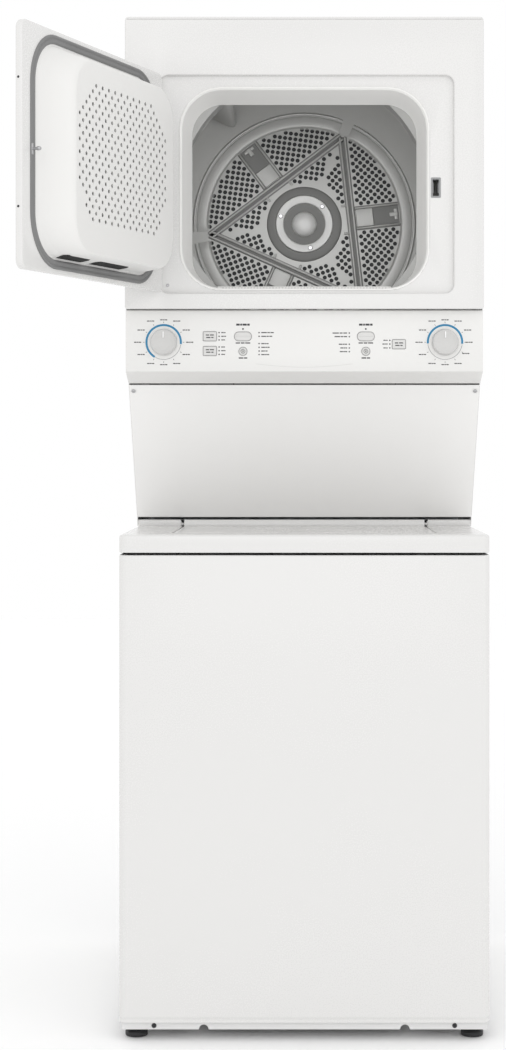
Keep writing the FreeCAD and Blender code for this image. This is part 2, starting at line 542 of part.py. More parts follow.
back_ring = ring("back_ring", "242", "212", "6", ("0", "drum_back_y - 5.9", "drum_z"), "y")
rib = box("rib_blank", ("0 - 170", "0 - 4", "97"), ("340", "5", "12"))
ribs = [turned("back_rib_%d" % a, rib, 90 - a, ("0", "drum_back_y", "drum_z")) for a in (127, 6.4, 246)]
hub = rod("back_hub", "80", "10", ("0", "drum_back_y - 9.9", "drum_z"), "y")
dome = rod("back_dome", "26", "18", ("0", "drum_back_y - 17.9", "drum_z"), "y")
node(fuse("drum_back", back_disc, back_ring, hub, dome, *ribs))
vane_outline = (("0 - 33", "drum_round - 6"), ("33", "drum_round - 6"), ("12", "256"), ("0 - 12", "256"))
vane_block = profile("vane_block", "XZ_Plane", vane_outline, "12 - drum_front_y",
                     "drum_front_y + drum_back_y - 22")
core_outline = (("0 - 31.2", "drum_round - 5"), ("31.2", "drum_round - 5"), ("10.8", "257.5"),
                ("0 - 10.8", "257.5"))
vane_core = profile("vane_core", "XZ_Plane", core_outline, "13.5 - drum_front_y",
                    "drum_front_y + drum_back_y - 25")
vane = cut("vane_blank", vane_block, vane_core)
node(fuse("drum_vanes", *[turned("vane_%d" % a, vane, 90 - a, ("0", "0", "drum_z")) for a in (126, 6, 246)]))
node(rod("drum_shaft", "spindle_thick", BACK + " - drum_back_y - 12", ("0", "drum_back_y + 2.2", "drum_z"),
         "y"))
rear_sheet = box("rear_sheet", ("1 - " + INNER, "drum_back_y + 36", "drum_z - 320"),
                 ("2 * " + INNER + " - 2", "2", "tall - lid_plate - drum_z + 316"))
bearing = rod("bearing_boss", "28", "22", ("0", "drum_back_y + 30", "drum_z"), "y")
bearing_bore = rod("bearing_bore", "spindle_thick + fit", "60", ("0", "drum_back_y + 20", "drum_z"), "y")
air_ports = [box("air_port_%d" % i, (x, "drum_back_y + 30", "drum_z - 210"), ("90", "12", "120"))
             for i, x in enumerate(("0 - 215", "120"))]
node(cut("rear_bulkhead", fuse("rear_whole", rear_sheet, bearing), bearing_bore, *air_ports))
heater_block = box("heater_block", ("0 - 235", "drum_back_y + 38.3", "rotor_z + 50"), ("130", "40", "330"))
heater_hollow = box("heater_hollow", ("0 - 233", "drum_back_y + 30", "rotor_z + 52"), ("126", "46", "326"))
node(cut("heater_box", heater_block, heater_hollow))

dryer_can = rod("dryer_can", "62", "150", ("rotor_x", "80", "rotor_z"), "y")
cradle = box("motor_cradle", ("rotor_x - 60", "90", "rotor_z - 75"), ("120", "130", "21"))
node(cut("dryer_motor", fuse("dryer_motor_whole", dryer_can, cradle),
         rod("dryer_bore", "7 + fit", "300", ("rotor_x", "0", "rotor_z"), "y")))
node(ring("dryer_motor_pulley", "13.7", "7 + fit", "16", ("rotor_x", "drum_belt_y - 3", "rotor_z"), "y"))
impeller_plate = rod("impeller_plate", "88", "3", ("rotor_x", "262", "rotor_z"), "y")
blade = box("blade_blank", ("50", "0", "0 - 1"), ("36", "44", "2"))
blades = [turned("blade_%d" % i, blade, i * 30, ("rotor_x", "264", "rotor_z")) for i in range(12)]
impeller_rim = ring("impeller_rim", "88", "80", "3", ("rotor_x", "306", "rotor_z"), "y")
rotor_shaft = rod("rotor_shaft", "7", "222", ("rotor_x", "48", "rotor_z"), "y")
node(fuse("blower_wheel", impeller_plate, impeller_rim, rotor_shaft, *blades))
volute = rod("volute", "112", "66", ("rotor_x", "254", "rotor_z"), "y")
volute_hollow = rod("volute_hollow", "108", "58", ("rotor_x", "258", "rotor_z"), "y")
volute_eye = rod("volute_eye", "55", "20", ("rotor_x", "245", "rotor_z"), "y")
volute_exit = rod("volute_exit", "exhaust_round - 1.4", "30", ("rotor_x", "300", "rotor_z"), "y")
node(cut("blower_housing", volute, volute_hollow, volute_eye, volute_exit))
duct = ring("duct", "exhaust_round - 2", "exhaust_round - 3.4", BACK + " - 319",
            ("rotor_x", "320", "rotor_z"), "y")
outlet_ring = ring("outlet_ring", "exhaust_round", "exhaust_round - 3.4", "rear_stub - 1",
                   ("rotor_x", BACK + " + 1", "rotor_z"), "y")
node(fuse("exhaust_pipe", duct, outlet_ring))
idler_wheel = ring("idler_wheel", "idler_round", "5 + fit", "14",
                   ("0 - idler_x", "drum_belt_y - 2", "idler_z"), "y")
node(idler_wheel)
idler_pin = rod("idler_pin", "5", "40", ("0 - idler_x", "drum_belt_y - 8", "idler_z"), "y")
idler_arm = box("idler_arm", ("0 - idler_x - 12", "drum_belt_y + 20", "idler_z - 84"), ("24", "6", "96"))
floor_sheet = box("floor_sheet", ("1 - " + INNER, "40", "idler_z - 86"),
                  ("2 * " + INNER + " - 2", BACK + " - 44", "2"))
pipe_gap = rod("pipe_gap", "113", "200", ("rotor_x", "240", "rotor_z"), "y")
cradle_gap = box("cradle_gap", ("rotor_x - 61", "89", "rotor_z - 75"), ("122", "132", "30"))
node(cut("drive_shelf", fuse("shelf_whole", floor_sheet, idler_arm, idler_pin), pipe_gap, cradle_gap))
node(belt("drum_belt", [(-size("idler_x"), size("idler_z"), size("idler_round") + 0.3),
                        (size("rotor_x"), size("rotor_z"), 14.0),
                        (0, size("drum_z"), size("drum_round") + 0.3)], 1.5, size("drum_belt_y"), 10, "y"))

# ---------------------------------------------------------------- console, knobs and buttons
console_outline = ((CONSOLE_FRONT, "console_low"), (CONSOLE_FRONT, "console_high"),
                   (CONSOLE_FRONT + " + 34", "console_high"),
                   (CONSOLE_FRONT + " + 34", "console_high - moulding"),
                   (CONSOLE_FRONT + " + moulding", "console_high - moulding"),
                   (CONSOLE_FRONT + " + moulding", "console_low + 2"),
                   ("0 - slope_high_y - 5", "console_under + 2.2"), ("0 - slope_high_y - 5", "console_under"))
console_skin = profile("console_skin", "YZ_Plane", console_outline, "0 - " + HALF, "wide")
end_outline = ((CONSOLE_FRONT, "console_low"), (CONSOLE_FRONT, "console_high"),
               ("0 - slope_high_y - 0.5", "console_high"), ("0 - slope_high_y - 0.5", "console_under - 1"),
               ("0 - slope_high_y - 5", "console_under"))
ends = [profile("console_end_" + word, "YZ_Plane", end_outline, x, "moulding")
        for word, x in (("left", "0 - " + HALF), ("right", HALF + " - moulding"))]
KEYS = (("washer_option_button", "0 - 181.3", "1309.4", 12.5, 8.5, 1.5),
        ("washer_temperature_button", "0 - 181.3", "1281.2", 12.5, 8.5, 1.5),
        ("washer_start_button", "0 - 117.8", "1309.2", 16, 8.2, 8),
        ("washer_cancel_button", "0 - 117.8", "1280.6", 7.5, 7.5, 7.4),
        ("dryer_start_button", "118", "1309.2", 16, 8.2, 8),
        ("dryer_cancel_button", "118", "1280.6", 7.5, 7.5, 7.4),
        ("dryer_signal_button", "181.5", "1294.2", 12.5, 8.5, 1.5))
key_holes = []
for name, x, z, across, up, corner in KEYS:
    key_holes.append(slab(name + "_hole", "XZ_Plane", ("%s - %s" % (x, across + 0.3), "%s - %s" % (z,
                                                                                                   up + 0.3)),
                          ("%s + %s" % (x, across + 0.3), "%s + %s" % (z, up + 0.3)),
                          CONSOLE_FRONT + " - 5", "20", str(corner + 0.3)))
    cap_body = slab(name + "_cap", "XZ_Plane", ("%s - %s" % (x, across), "%s - %s" % (z, up)),
                    ("%s + %s" % (x, across), "%s + %s" % (z, up)), CONSOLE_FRONT + " - button_out",
                    "button_out + moulding + 5", str(corner))
    flange = box(name + "_flange", ("%s - %s" % (x, across + 2), CONSOLE_FRONT + " + moulding + 0.3",
                                    "%s - %s" % (z, up + 2)), (str(2 * across + 4), "1.5", str(2 * up + 4)))
    node(fuse(name, cap_body, flange))
for word, x in (("washer", "0 - knob_x"), ("dryer", "knob_x")):
    key_holes.append(rod(word + "_knob_hole", "3 + fit", "30", (x, CONSOLE_FRONT + " - 10", "knob_z"), "y"))
    grip = cone(word + "_grip", "knob_round - 3", "knob_round", "knob_deep - 0.5",
                (x, CONSOLE_FRONT + " - knob_deep", "knob_z"), "y")
    stem = rod(word + "_stem", "3", "24", (x, CONSOLE_FRONT + " - 6", "knob_z"), "y")
    node(fuse(word + "_knob", grip, stem))
node(cut("console_panel", fuse("console_whole", console_skin, *ends), *key_holes))

# ---------------------------------------------------------------- lint filter and door catch
FILTER_Y = THROAT_END + " - 17"
screen_block = box("screen_block", ("0 - filter_half", FILTER_Y, "mouth_low + 12 - filter_high"),
                   ("2 * filter_half", "10", "filter_high - 6"))
screen_gap = box("screen_gap", ("12 - filter_half", FILTER_Y + " + 1.5", "mouth_low + 24 - filter_high"),
                 ("2 * filter_half - 24", "7", "filter_high"))
handle = box("filter_handle", ("0 - filter_half - 8", FILTER_Y + " - 4", "mouth_low + 21.3"),
             ("2 * filter_half + 16", "18", "5"))
neck = box("filter_neck", ("0 - filter_half", FILTER_Y, "mouth_low + 4"), ("2 * filter_half", "10", "20"))
node(fuse("lint_filter", cut("screen", screen_block, screen_gap), neck, handle))
catch_block = box("catch_block", ("strike_x - 11.5", POCKET_FLOOR + " + gauge", "strike_z - 24"),
                  ("24.5", "26", "48"))
catch_gap = box("catch_gap", ("strike_x - 8", POCKET_FLOOR, "strike_z - 18"), ("16", "24", "36"))
node(cut("door_catch", catch_block, catch_gap))

# ---------------------------------------------------------------- door, drawn shut and swung open
SHUT = "(dryer_setback - deep / 2 + pocket_deep - door_thick - 3.4)"
skin_block = slab("skin_block", "XZ_Plane", ("0 - pocket_left + door_gap", "pocket_low + door_gap"),
                  ("pocket_right - door_gap", "pocket_high - door_gap"), SHUT, "door_thick", "16")
hinge_gaps, knuckles, hinge_pins, knuckle_bores = [], [], [], []
for i, z in enumerate(KNUCKLES):
    hinge_gaps.append(box("hinge_gap_%d" % i, ("0 - pocket_left - 5", SHUT + " - 1", z + " - 8"),
                          ("19", "30", "56")))
    arm = box("hinge_arm_%d" % i, ("0 - hinge_x", HINGE_Y + " - 2", z), ("20", "6", "40"))
    knuckle = rod("knuckle_%d" % i, "pin_thick + 2.5", "40", ("0 - hinge_x", HINGE_Y, z))
    knuckles += [arm, knuckle]
    knuckle_bores.append(rod("knuckle_bore_%d" % i, "pin_thick + fit", "60",
                             ("0 - hinge_x", HINGE_Y, z + " - 10")))
    hinge_pins.append(rod("hinge_pin_%d" % i, "pin_thick", "54", ("0 - hinge_x", HINGE_Y, z + " - 7")))
    for word, low in (("low", z + " - 6.5"), ("high", z + " + 40.5")):
        hinge_pins.append(box("hinge_lug_%s_%d" % (word, i), ("0 - hinge_x - 4", HINGE_Y + " - 4", low),
                              ("9", "hinge_out + 4", "6")))
node(fuse("door_hinges", *hinge_pins))
door_shell = cut("door_skin_notched", skin_block, *hinge_gaps)
INSIDE = "(%s + door_thick)" % SHUT
skin_hollow = box("skin_hollow", ("60 - mouth_half", SHUT + " + gauge", "mouth_low + 80"),
                  ("2 * mouth_half - 120", "door_thick", "mouth_high - mouth_low - 150"))
skin_shut = cut("skin_shut", fuse("skin_whole", door_shell, *knuckles), skin_hollow, *knuckle_bores)
gasket_block = slab("gasket_block", "XZ_Plane", ("gasket_in - pocket_left", "pocket_low + gasket_end"),
                    ("pocket_right - gasket_free", "pocket_high - gasket_end"), INSIDE, "3", "92")
gasket_gap = slab("gasket_gap", "XZ_Plane",
                  ("gasket_in + gasket_wide - pocket_left", "pocket_low + gasket_end + gasket_wide"),
                  ("pocket_right - gasket_free - gasket_wide", "pocket_high - gasket_end - gasket_wide"),
                  INSIDE + " - 1", "5", "76")
strike_gap = box("strike_gap", ("strike_x - 3.5", INSIDE + " - 1", "strike_z - 10.5"), ("7", "6", "21"))
gasket_shut = cut("gasket_shut", gasket_block, gasket_gap, strike_gap)
pan_shut = slab("pan_shut", "XZ_Plane", ("8 - mouth_half", "mouth_low + 28"), ("mouth_half - 8", "mouth_high - 8"),
                INSIDE, "pan_deep", "66", "0 - 20")
strike_shut = box("strike_shut", ("strike_x - 3", INSIDE, "strike_z - 10"), ("6", "21", "20"))


def swing(name, shut):
    """The shut shape, carried about the hinge line to the angle it is drawn at."""
    item = doc.addObject("Part::Compound", name)
    item.Links = [shut]
    link(item, "Placement.Rotation.Angle", "door_open")
    item.Placement.Rotation.Axis = V(0, 0, -1)
    x, y = "(0 - hinge_x)", HINGE_Y
    link(item, "Placement.Base.x", "%s - (%s * cos(door_open * 1deg) + %s * sin(door_open * 1deg))" % (x,
                                                                                                       x, y))
    link(item, "Placement.Base.y", "%s - (%s * cos(door_open * 1deg) - %s * sin(door_open * 1deg))" % (y,
                                                                                                       y, x))
    return item


for name, shut in (("door_outer_panel", skin_shut), ("door_gasket", gasket_shut),
                   ("door_inner_liner", pan_shut), ("door_strike", strike_shut)):
    node(swing(name, shut))

doc.recompute()
faults = []
for item in doc.Objects:
    if any(word in item.State for word in ("Invalid", "Error")):
        faults.append(item.Name + " " + str(item.State))
for name, item in NODES.items():
    if item.Shape.isNull() or not item.Shape.isValid() or not item.Shape.Solids:
        faults.append(name + " has no sound solid")
if faults:
    raise RuntimeError("; ".join(faults))
for name, item in NODES.items():
    shape = item.Shape.copy()
    shape.translate(V(size("origin_right"), size("origin_back"), 0))
    shape.exportStep("parts/%s.step" % name)
print(len(NODES), "parts written")
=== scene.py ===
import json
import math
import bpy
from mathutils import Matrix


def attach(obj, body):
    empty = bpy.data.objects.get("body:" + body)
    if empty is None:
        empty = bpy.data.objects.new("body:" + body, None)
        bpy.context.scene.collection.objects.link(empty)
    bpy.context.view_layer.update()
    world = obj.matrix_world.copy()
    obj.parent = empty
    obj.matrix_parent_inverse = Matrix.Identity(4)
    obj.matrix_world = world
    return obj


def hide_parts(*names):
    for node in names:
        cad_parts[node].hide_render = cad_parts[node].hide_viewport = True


bl_info = {
    "name": "Laundry Centre",
    "version": (1, 0, 0),
    "blender": (4, 5, 0),
    "location": "3D View > Sidebar > Laundry Centre",
    "description": "A dryer over a top-loading washer in one cabinet, with its dials, drum, door and stage",
    "category": "Add Mesh",
}

import bpy
from bpy.props import FloatProperty, FloatVectorProperty, IntProperty, PointerProperty
from mathutils import Matrix, Vector

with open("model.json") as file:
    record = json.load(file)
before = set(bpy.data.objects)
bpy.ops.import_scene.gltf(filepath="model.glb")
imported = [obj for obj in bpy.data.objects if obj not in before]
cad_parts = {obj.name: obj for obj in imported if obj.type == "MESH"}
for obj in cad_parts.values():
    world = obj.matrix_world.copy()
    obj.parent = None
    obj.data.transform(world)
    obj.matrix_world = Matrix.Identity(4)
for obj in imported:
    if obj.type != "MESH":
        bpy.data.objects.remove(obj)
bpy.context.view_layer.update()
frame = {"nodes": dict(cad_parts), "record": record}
MM = 0.001
CABINET = "cabinet"
MIDDLE = Vector((0.06788, 0.2, 0.0))
AHEAD, BEHIND = (0, -1, 0), (0, 1, 0)


# ---------------------------------------------------------------- sizes and colours a user may change
class CabinetSizes(bpy.types.PropertyGroup):
    """Sheet edges of the cabinet, in millimetres."""
    edge: FloatProperty(name="Sheet Edge", description="Rounding of the folded sheet edges", default=2.5,
                        min=0.5)
    deck_edge: FloatProperty(name="Deck Edge", description="Rounding of the deck's top edge", default=6.0,
                             min=1.0)
    front_bend: FloatProperty(name="Front Bend", description="Radius of the washer's front corners",
                              default=15.0)


class DrumSizes(bpy.types.PropertyGroup):
    """The drum back, in millimetres."""
    hole: FloatProperty(name="Hole Radius", description="Radius of a drum hole", default=4.6, min=1.0)
    pitch: FloatProperty(name="Hole Pitch", description="Half the diagonal between drum holes", default=8.0,
                         min=5.0)
    rib: FloatProperty(name="Rib Distance", description="Distance of each rib from the axis", default=103.0)
    spokes: IntProperty(name="Ring Segments", description="Segments round the drum", default=144, min=48)


class DoorSizes(bpy.types.PropertyGroup):
    """The dryer door, in millimetres and degrees."""
    opening: FloatProperty(name="Drawn Open", description="Angle the door is drawn at, degrees",
                           default=110.5)
    hole: FloatProperty(name="Hole Radius", description="Radius of a liner hole", default=3.8, min=1.0)
    column: FloatProperty(name="Column Pitch", description="Distance between columns of liner holes",
                          default=12.5)
    row: FloatProperty(name="Row Pitch", description="Distance between liner holes in a column", default=22.0)


class Finishes(bpy.types.PropertyGroup):
    """Base colours of the main finishes."""
    enamel: FloatVectorProperty(name="Enamel", description="Cabinet enamel", subtype="COLOR", size=3,
                                default=(0.725, 0.72, 0.71))
    # painted light: the sloped panel's enamel is set lighter than the cabinet enamel because the panel faces
    # down and catches less light
    panel: FloatVectorProperty(name="Access Panel", description="Sloped panel enamel", subtype="COLOR",
                               size=3, default=(0.877, 0.871, 0.859))
    plastic: FloatVectorProperty(name="White Plastic", description="Console and liner plastic",
                                 subtype="COLOR", size=3, default=(0.775, 0.77, 0.755))
    drum: FloatVectorProperty(name="Drum", description="Drum coating", subtype="COLOR", size=3,
                              default=(0.42, 0.42, 0.41))
    light: FloatVectorProperty(name="Dial Light", description="Lit arc round each dial", subtype="COLOR",
                               size=3, default=(0.012, 0.19, 0.36))


SETTINGS = (("laundry_cabinet", CabinetSizes), ("laundry_drum", DrumSizes), ("laundry_door", DoorSizes),
            ("laundry_finish", Finishes))


# ---------------------------------------------------------------- shapes, in millimetres
def cosd(degrees):
    return math.cos(math.radians(degrees))


def sind(degrees):
    return math.sin(math.radians(degrees))


def round_rect(x0, z0, x1, z1, radius, steps=8):
    """Corner points of a rounded rectangle, turning from +X to +Z."""
    radius = max(radius, 0.05)
    points = []
    for cx, cz, start in ((x1 - radius, z0 + radius, -90), (x1 - radius, z1 - radius, 0),
                          (x0 + radius, z1 - radius, 90), (x0 + radius, z0 + radius, 180)):
        for i in range(steps + 1):
            a = math.radians(start + 90 * i / steps)
            points.append((cx + radius * math.cos(a), cz + radius * math.sin(a)))
    return points


def circle(radius, count=144, x=0.0, z=0.0):
    return [(x + radius * math.cos(2 * math.pi * i / count), z + radius * math.sin(2 * math.pi * i / count))
            for i in range(count)]


def facing(outline, y):
    """An outline stood upright at depth y."""
    return [(x, y, z) for x, z in outline]


def lying(outline, z):
    return [(x, y, z) for x, y in outline]


def quarter(start, end, steps=4, bulge="first"):
    """Steps of a quarter round between two (inset, level) pairs; the first or last coordinate leads."""
    out = []
    for i in range(steps + 1):
        a = math.pi / 2 * i / steps
        p, q = math.sin(a), 1 - math.cos(a)
        if bulge != "first":
            p, q = q, p
        out.append((start[0] + (end[0] - start[0]) * q, start[1] + (end[1] - start[1]) * p))
    return out


class Shape:
    """Vertices and faces gathered in millimetres."""

    def __init__(self):
        self.verts, self.faces = [], []

    def add(self, verts, faces):
        base = len(self.verts)
        self.verts += [tuple(v) for v in verts]
        self.faces += [tuple(base + i for i in face) for face in faces]
        return self

    def chain(self, loops, closed=False, caps=True):
        """Loops of equal length joined one to the next; closed joins the last to the first."""
        n = len(loops[0])
        verts = [p for loop in loops for p in loop]
        faces = []
        pairs = list(range(len(loops) - 1)) + ([-1] if closed else [])
        for k in pairs:
            a, b = (k * n, (k + 1) * n) if k >= 0 else ((len(loops) - 1) * n, 0)
            faces += [(a + i, a + (i + 1) % n, b + (i + 1) % n, b + i) for i in range(n)]
        if caps and not closed:
            faces += [tuple(range(n))[::-1], tuple(range((len(loops) - 1) * n, len(loops) * n))]
        return self.add(verts, faces)

    def spun(self, profile, axis_at, axis="y", count=96, closed=True):
        """(radius, level) pairs turned about an axis; closed rings, or pairs that end at radius 0."""
        loops = []
        for radius, level in profile:
            ring = circle(max(radius, 0.01), count)
            if axis == "y":
                loops.append([(axis_at[0] + u, level, axis_at[1] + v) for u, v in ring])
            elif axis == "z":
                loops.append([(axis_at[0] + u, axis_at[1] + v, level) for u, v in ring])
            else:
                loops.append([(level, axis_at[0] + u, axis_at[1] + v) for u, v in ring])
        return self.chain(loops, closed=closed)

    def block(self, low, high, edge=0.6):
        """A box with softened edges, made from inset loops."""
        (x0, y0, z0), (x1, y1, z1) = low, high
        e = min(edge, (x1 - x0) / 3, (y1 - y0) / 3, (z1 - z0) / 3)
        loops = []
        for inset, z in ((e, z0), (e * 0.3, z0 + e * 0.3), (0, z0 + e), (0, z1 - e), (e * 0.3, z1 - e * 0.3),
                         (e, z1)):
            loops.append(lying(round_rect(x0 + inset, y0 + inset, x1 - inset, y1 - inset,
                                          max(e - inset, 0.05), 3), z))
        return self.chain(loops)

    def bar(self, start, end, width, height, up, edge=0.8):
        """A softened bar between two points."""
        start, end, up = Vector(start), Vector(end), Vector(up).normalized()
        along = (end - start).normalized()
        side = along.cross(up).normalized()
        outline = round_rect(-width / 2, 0, width / 2, height, edge, 3)
        loops = []
        for point, shrink in ((start, 0.75), (start + along * edge, 1), (end - along * edge, 1), (end, 0.75)):
            loops.append([point + side * (u * shrink) + up * (v * shrink) for u, v in outline])
        return self.chain(loops)

    def turned(self, matrix, since=0):
        self.verts = self.verts[:since] + [tuple(matrix @ Vector(v)) for v in self.verts[since:]]
        return self


def plain_mesh(name, shape):
    mesh = bpy.data.meshes.new(name)
    mesh.from_pydata([Vector(v) * MM + MIDDLE for v in shape.verts], [], shape.faces)
    mesh.validate()
    return mesh


def tidy_mesh(mesh, smooth_angle=34):
    """Doubles merged, faces turned outwards, soft shading up to an angle."""
    import bmesh
    bm = bmesh.new()
    bm.from_mesh(mesh)
    bmesh.ops.remove_doubles(bm, verts=bm.verts, dist=1e-6)
    bmesh.ops.dissolve_degenerate(bm, edges=bm.edges, dist=1e-7)
    bmesh.ops.recalc_face_normals(bm, faces=bm.faces)
    limit = math.radians(smooth_angle)
    for face in bm.faces:
        face.smooth = True
    for edge in bm.edges:
        edge.smooth = len(edge.link_faces) == 2 and edge.calc_face_angle(0) < limit
    bm.to_mesh(mesh)
    bm.free()
    return mesh


def piece(name, shape, finish, body=CABINET, stands_for=(), tidy=True):
    """A finished piece: mesh at the origin, one material, riding on its body."""
    mesh = shape if isinstance(shape, bpy.types.Mesh) else plain_mesh(name, shape)
    if tidy:
        tidy_mesh(mesh)
    item = bpy.data.objects.new(name, mesh)
    bpy.context.scene.collection.objects.link(item)
    if finish:
        mesh.materials.clear()
        mesh.materials.append(MATERIALS[finish])
    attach(item, body)
    if stands_for:
        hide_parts(*stands_for)
    return item


def evaluated_mesh(item, name):
    """The object's modifiers turned into a plain mesh; the object is then removed."""
    bpy.context.view_layer.update()
    graph = bpy.context.evaluated_depsgraph_get()
    mesh = bpy.data.meshes.new_from_object(item.evaluated_get(graph), preserve_all_data_layers=True,
                                           depsgraph=graph)
    mesh.name = name
    item.modifiers.clear()
    bpy.data.objects.remove(item)
    return mesh


def carved(name, shape, cutters):
    """The shape less closed cutter shapes."""
    whole = bpy.data.objects.new(name + "_whole", tidy_mesh(plain_mesh(name, shape)))
    bpy.context.scene.collection.objects.link(whole)
    tools = Shape()
    for cutter in cutters:
        tools.add(cutter.verts, cutter.faces)
    tool = bpy.data.objects.new(name + "_cutter", tidy_mesh(plain_mesh(name + "_cutter", tools)))
    bpy.context.scene.collection.objects.link(tool)
    cut = whole.modifiers.new("Cut", "BOOLEAN")
    cut.operation, cut.solver, cut.object = "DIFFERENCE", "EXACT", tool
    mesh = evaluated_mesh(whole, name)
    bpy.data.objects.remove(tool)
    return mesh


# ---------------------------------------------------------------- materials
MATERIALS = {}


def scaled(tree, socket, factor):
    """The output of a node that multiplies a socket's value."""
    times = tree.nodes.new("ShaderNodeMath")
    times.operation = "MULTIPLY"
    times.inputs[1].default_value = factor
    tree.links.new(socket, times.inputs[0])
    return times.outputs[0]


def grain_group():
    """Shared surface effect: cloudy tone, fine grain for bump and a changing roughness."""
    group = bpy.data.node_groups.new("Surface Grain", "ShaderNodeTree")
    face = group.interface
    for label, kind, default in (("Tone A", "NodeSocketColor", (0.8, 0.8, 0.8, 1)),
                                 ("Tone B", "NodeSocketColor", (0.7, 0.7, 0.7, 1)),
                                 ("Cloud Scale", "NodeSocketFloat", 6.0),
                                 ("Grain Scale", "NodeSocketFloat", 900.0),
                                 ("Rough Low", "NodeSocketFloat", 0.3),
                                 ("Rough High", "NodeSocketFloat", 0.4),
                                 ("Stretch", "NodeSocketVector", (1, 1, 1))):
        face.new_socket(label, in_out="INPUT", socket_type=kind).default_value = default
    for label, kind in (("Colour", "NodeSocketColor"), ("Roughness", "NodeSocketFloat"),
                        ("Height", "NodeSocketFloat")):
        face.new_socket(label, in_out="OUTPUT", socket_type=kind)
    nodes, links = group.nodes, group.links
    given, out = nodes.new("NodeGroupInput"), nodes.new("NodeGroupOutput")
    where = nodes.new("ShaderNodeTexCoord")
    stretch = nodes.new("ShaderNodeVectorMath")
    stretch.operation = "MULTIPLY"
    links.new(where.outputs["Object"], stretch.inputs[0])
    links.new(given.outputs["Stretch"], stretch.inputs[1])
    cloud, grain = nodes.new("ShaderNodeTexNoise"), nodes.new("ShaderNodeTexNoise")
    cloud.inputs["Detail"].default_value = 3
    grain.inputs["Detail"].default_value = 2
    links.new(where.outputs["Object"], cloud.inputs["Vector"])
    links.new(stretch.outputs[0], grain.inputs["Vector"])
    links.new(given.outputs["Cloud Scale"], cloud.inputs["Scale"])
    links.new(given.outputs["Grain Scale"], grain.inputs["Scale"])
    blend = nodes.new("ShaderNodeMath")
    blend.operation = "MULTIPLY_ADD"
    blend.inputs[1].default_value = 0.5
    links.new(cloud.outputs["Fac"], blend.inputs[0])
    links.new(scaled(group, grain.outputs["Fac"], 0.5), blend.inputs[2])
    mix = nodes.new("ShaderNodeMix")
    mix.data_type = "RGBA"
    links.new(blend.outputs[0], mix.inputs["Factor"])
    links.new(given.outputs["Tone A"], mix.inputs[6])
    links.new(given.outputs["Tone B"], mix.inputs[7])
    span = nodes.new("ShaderNodeMapRange")
    links.new(blend.outputs[0], span.inputs["Value"])
    links.new(given.outputs["Rough Low"], span.inputs["To Min"])
    links.new(given.outputs["Rough High"], span.inputs["To Max"])
    links.new(mix.outputs[2], out.inputs["Colour"])
    links.new(span.outputs["Result"], out.inputs["Roughness"])
    links.new(grain.outputs["Fac"], out.inputs["Height"])
    return group


def finish(name, colour, shade=0.96, rough=(0.3, 0.4), metal=0.0, grain=900.0, cloud=6.0, bump=0.05, coat=0.0,
           stretch=(1, 1, 1), glow=0.0, specular=0.5, depth=0.0002):
    """A material whose colour, roughness and relief come from the shared grain."""
    material = bpy.data.materials.new(name)
    material.use_nodes = True
    nodes, links = material.node_tree.nodes, material.node_tree.links
    shader = nodes["Principled BSDF"]
    shader.inputs["Metallic"].default_value = metal
    shader.inputs["Coat Weight"].default_value = coat
    shader.inputs["Coat Roughness"].default_value = 0.12
    shader.inputs["Specular IOR Level"].default_value = specular
    group = nodes.new("ShaderNodeGroup")
    group.node_tree = bpy.data.node_groups.get("Surface Grain") or grain_group()
    tone = tuple(colour)
    group.inputs["Tone A"].default_value = (*tone, 1)
    group.inputs["Tone B"].default_value = (*(c * shade for c in tone), 1)
    group.inputs["Cloud Scale"].default_value = cloud
    group.inputs["Grain Scale"].default_value = grain
    group.inputs["Rough Low"].default_value, group.inputs["Rough High"].default_value = rough
    group.inputs["Stretch"].default_value = stretch
    relief = nodes.new("ShaderNodeBump")
    relief.inputs["Strength"].default_value = bump
    relief.inputs["Distance"].default_value = depth
    links.new(group.outputs["Height"], relief.inputs["Height"])
    links.new(group.outputs["Colour"], shader.inputs["Base Color"])
    links.new(group.outputs["Roughness"], shader.inputs["Roughness"])
    links.new(relief.outputs["Normal"], shader.inputs["Normal"])
    if glow:
        links.new(group.outputs["Colour"], shader.inputs["Emission Color"])
        shader.inputs["Emission Strength"].default_value = glow
    MATERIALS[name] = material
    return material


def spangle(material, scale=70.0):
    """Crystal flakes of zinc coating mixed into the tone."""
    nodes, links = material.node_tree.nodes, material.node_tree.links
    group = next(n for n in nodes if n.type == "GROUP")
    where = nodes.new("ShaderNodeTexCoord")
    cells = nodes.new("ShaderNodeTexVoronoi")
    cells.inputs["Scale"].default_value = scale
    links.new(where.outputs["Object"], cells.inputs["Vector"])
    ramp = nodes.new("ShaderNodeMapRange")
    ramp.inputs["To Min"].default_value, ramp.inputs["To Max"].default_value = 0.8, 1.08
    links.new(cells.outputs["Color"], ramp.inputs["Value"])
    mix = nodes.new("ShaderNodeMix")
    mix.data_type, mix.blend_type = "RGBA", "MULTIPLY"
    mix.inputs["Factor"].default_value = 1
    links.new(group.outputs["Colour"], mix.inputs[6])
    links.new(ramp.outputs["Result"], mix.inputs[7])
    links.new(mix.outputs[2], nodes["Principled BSDF"].inputs["Base Color"])


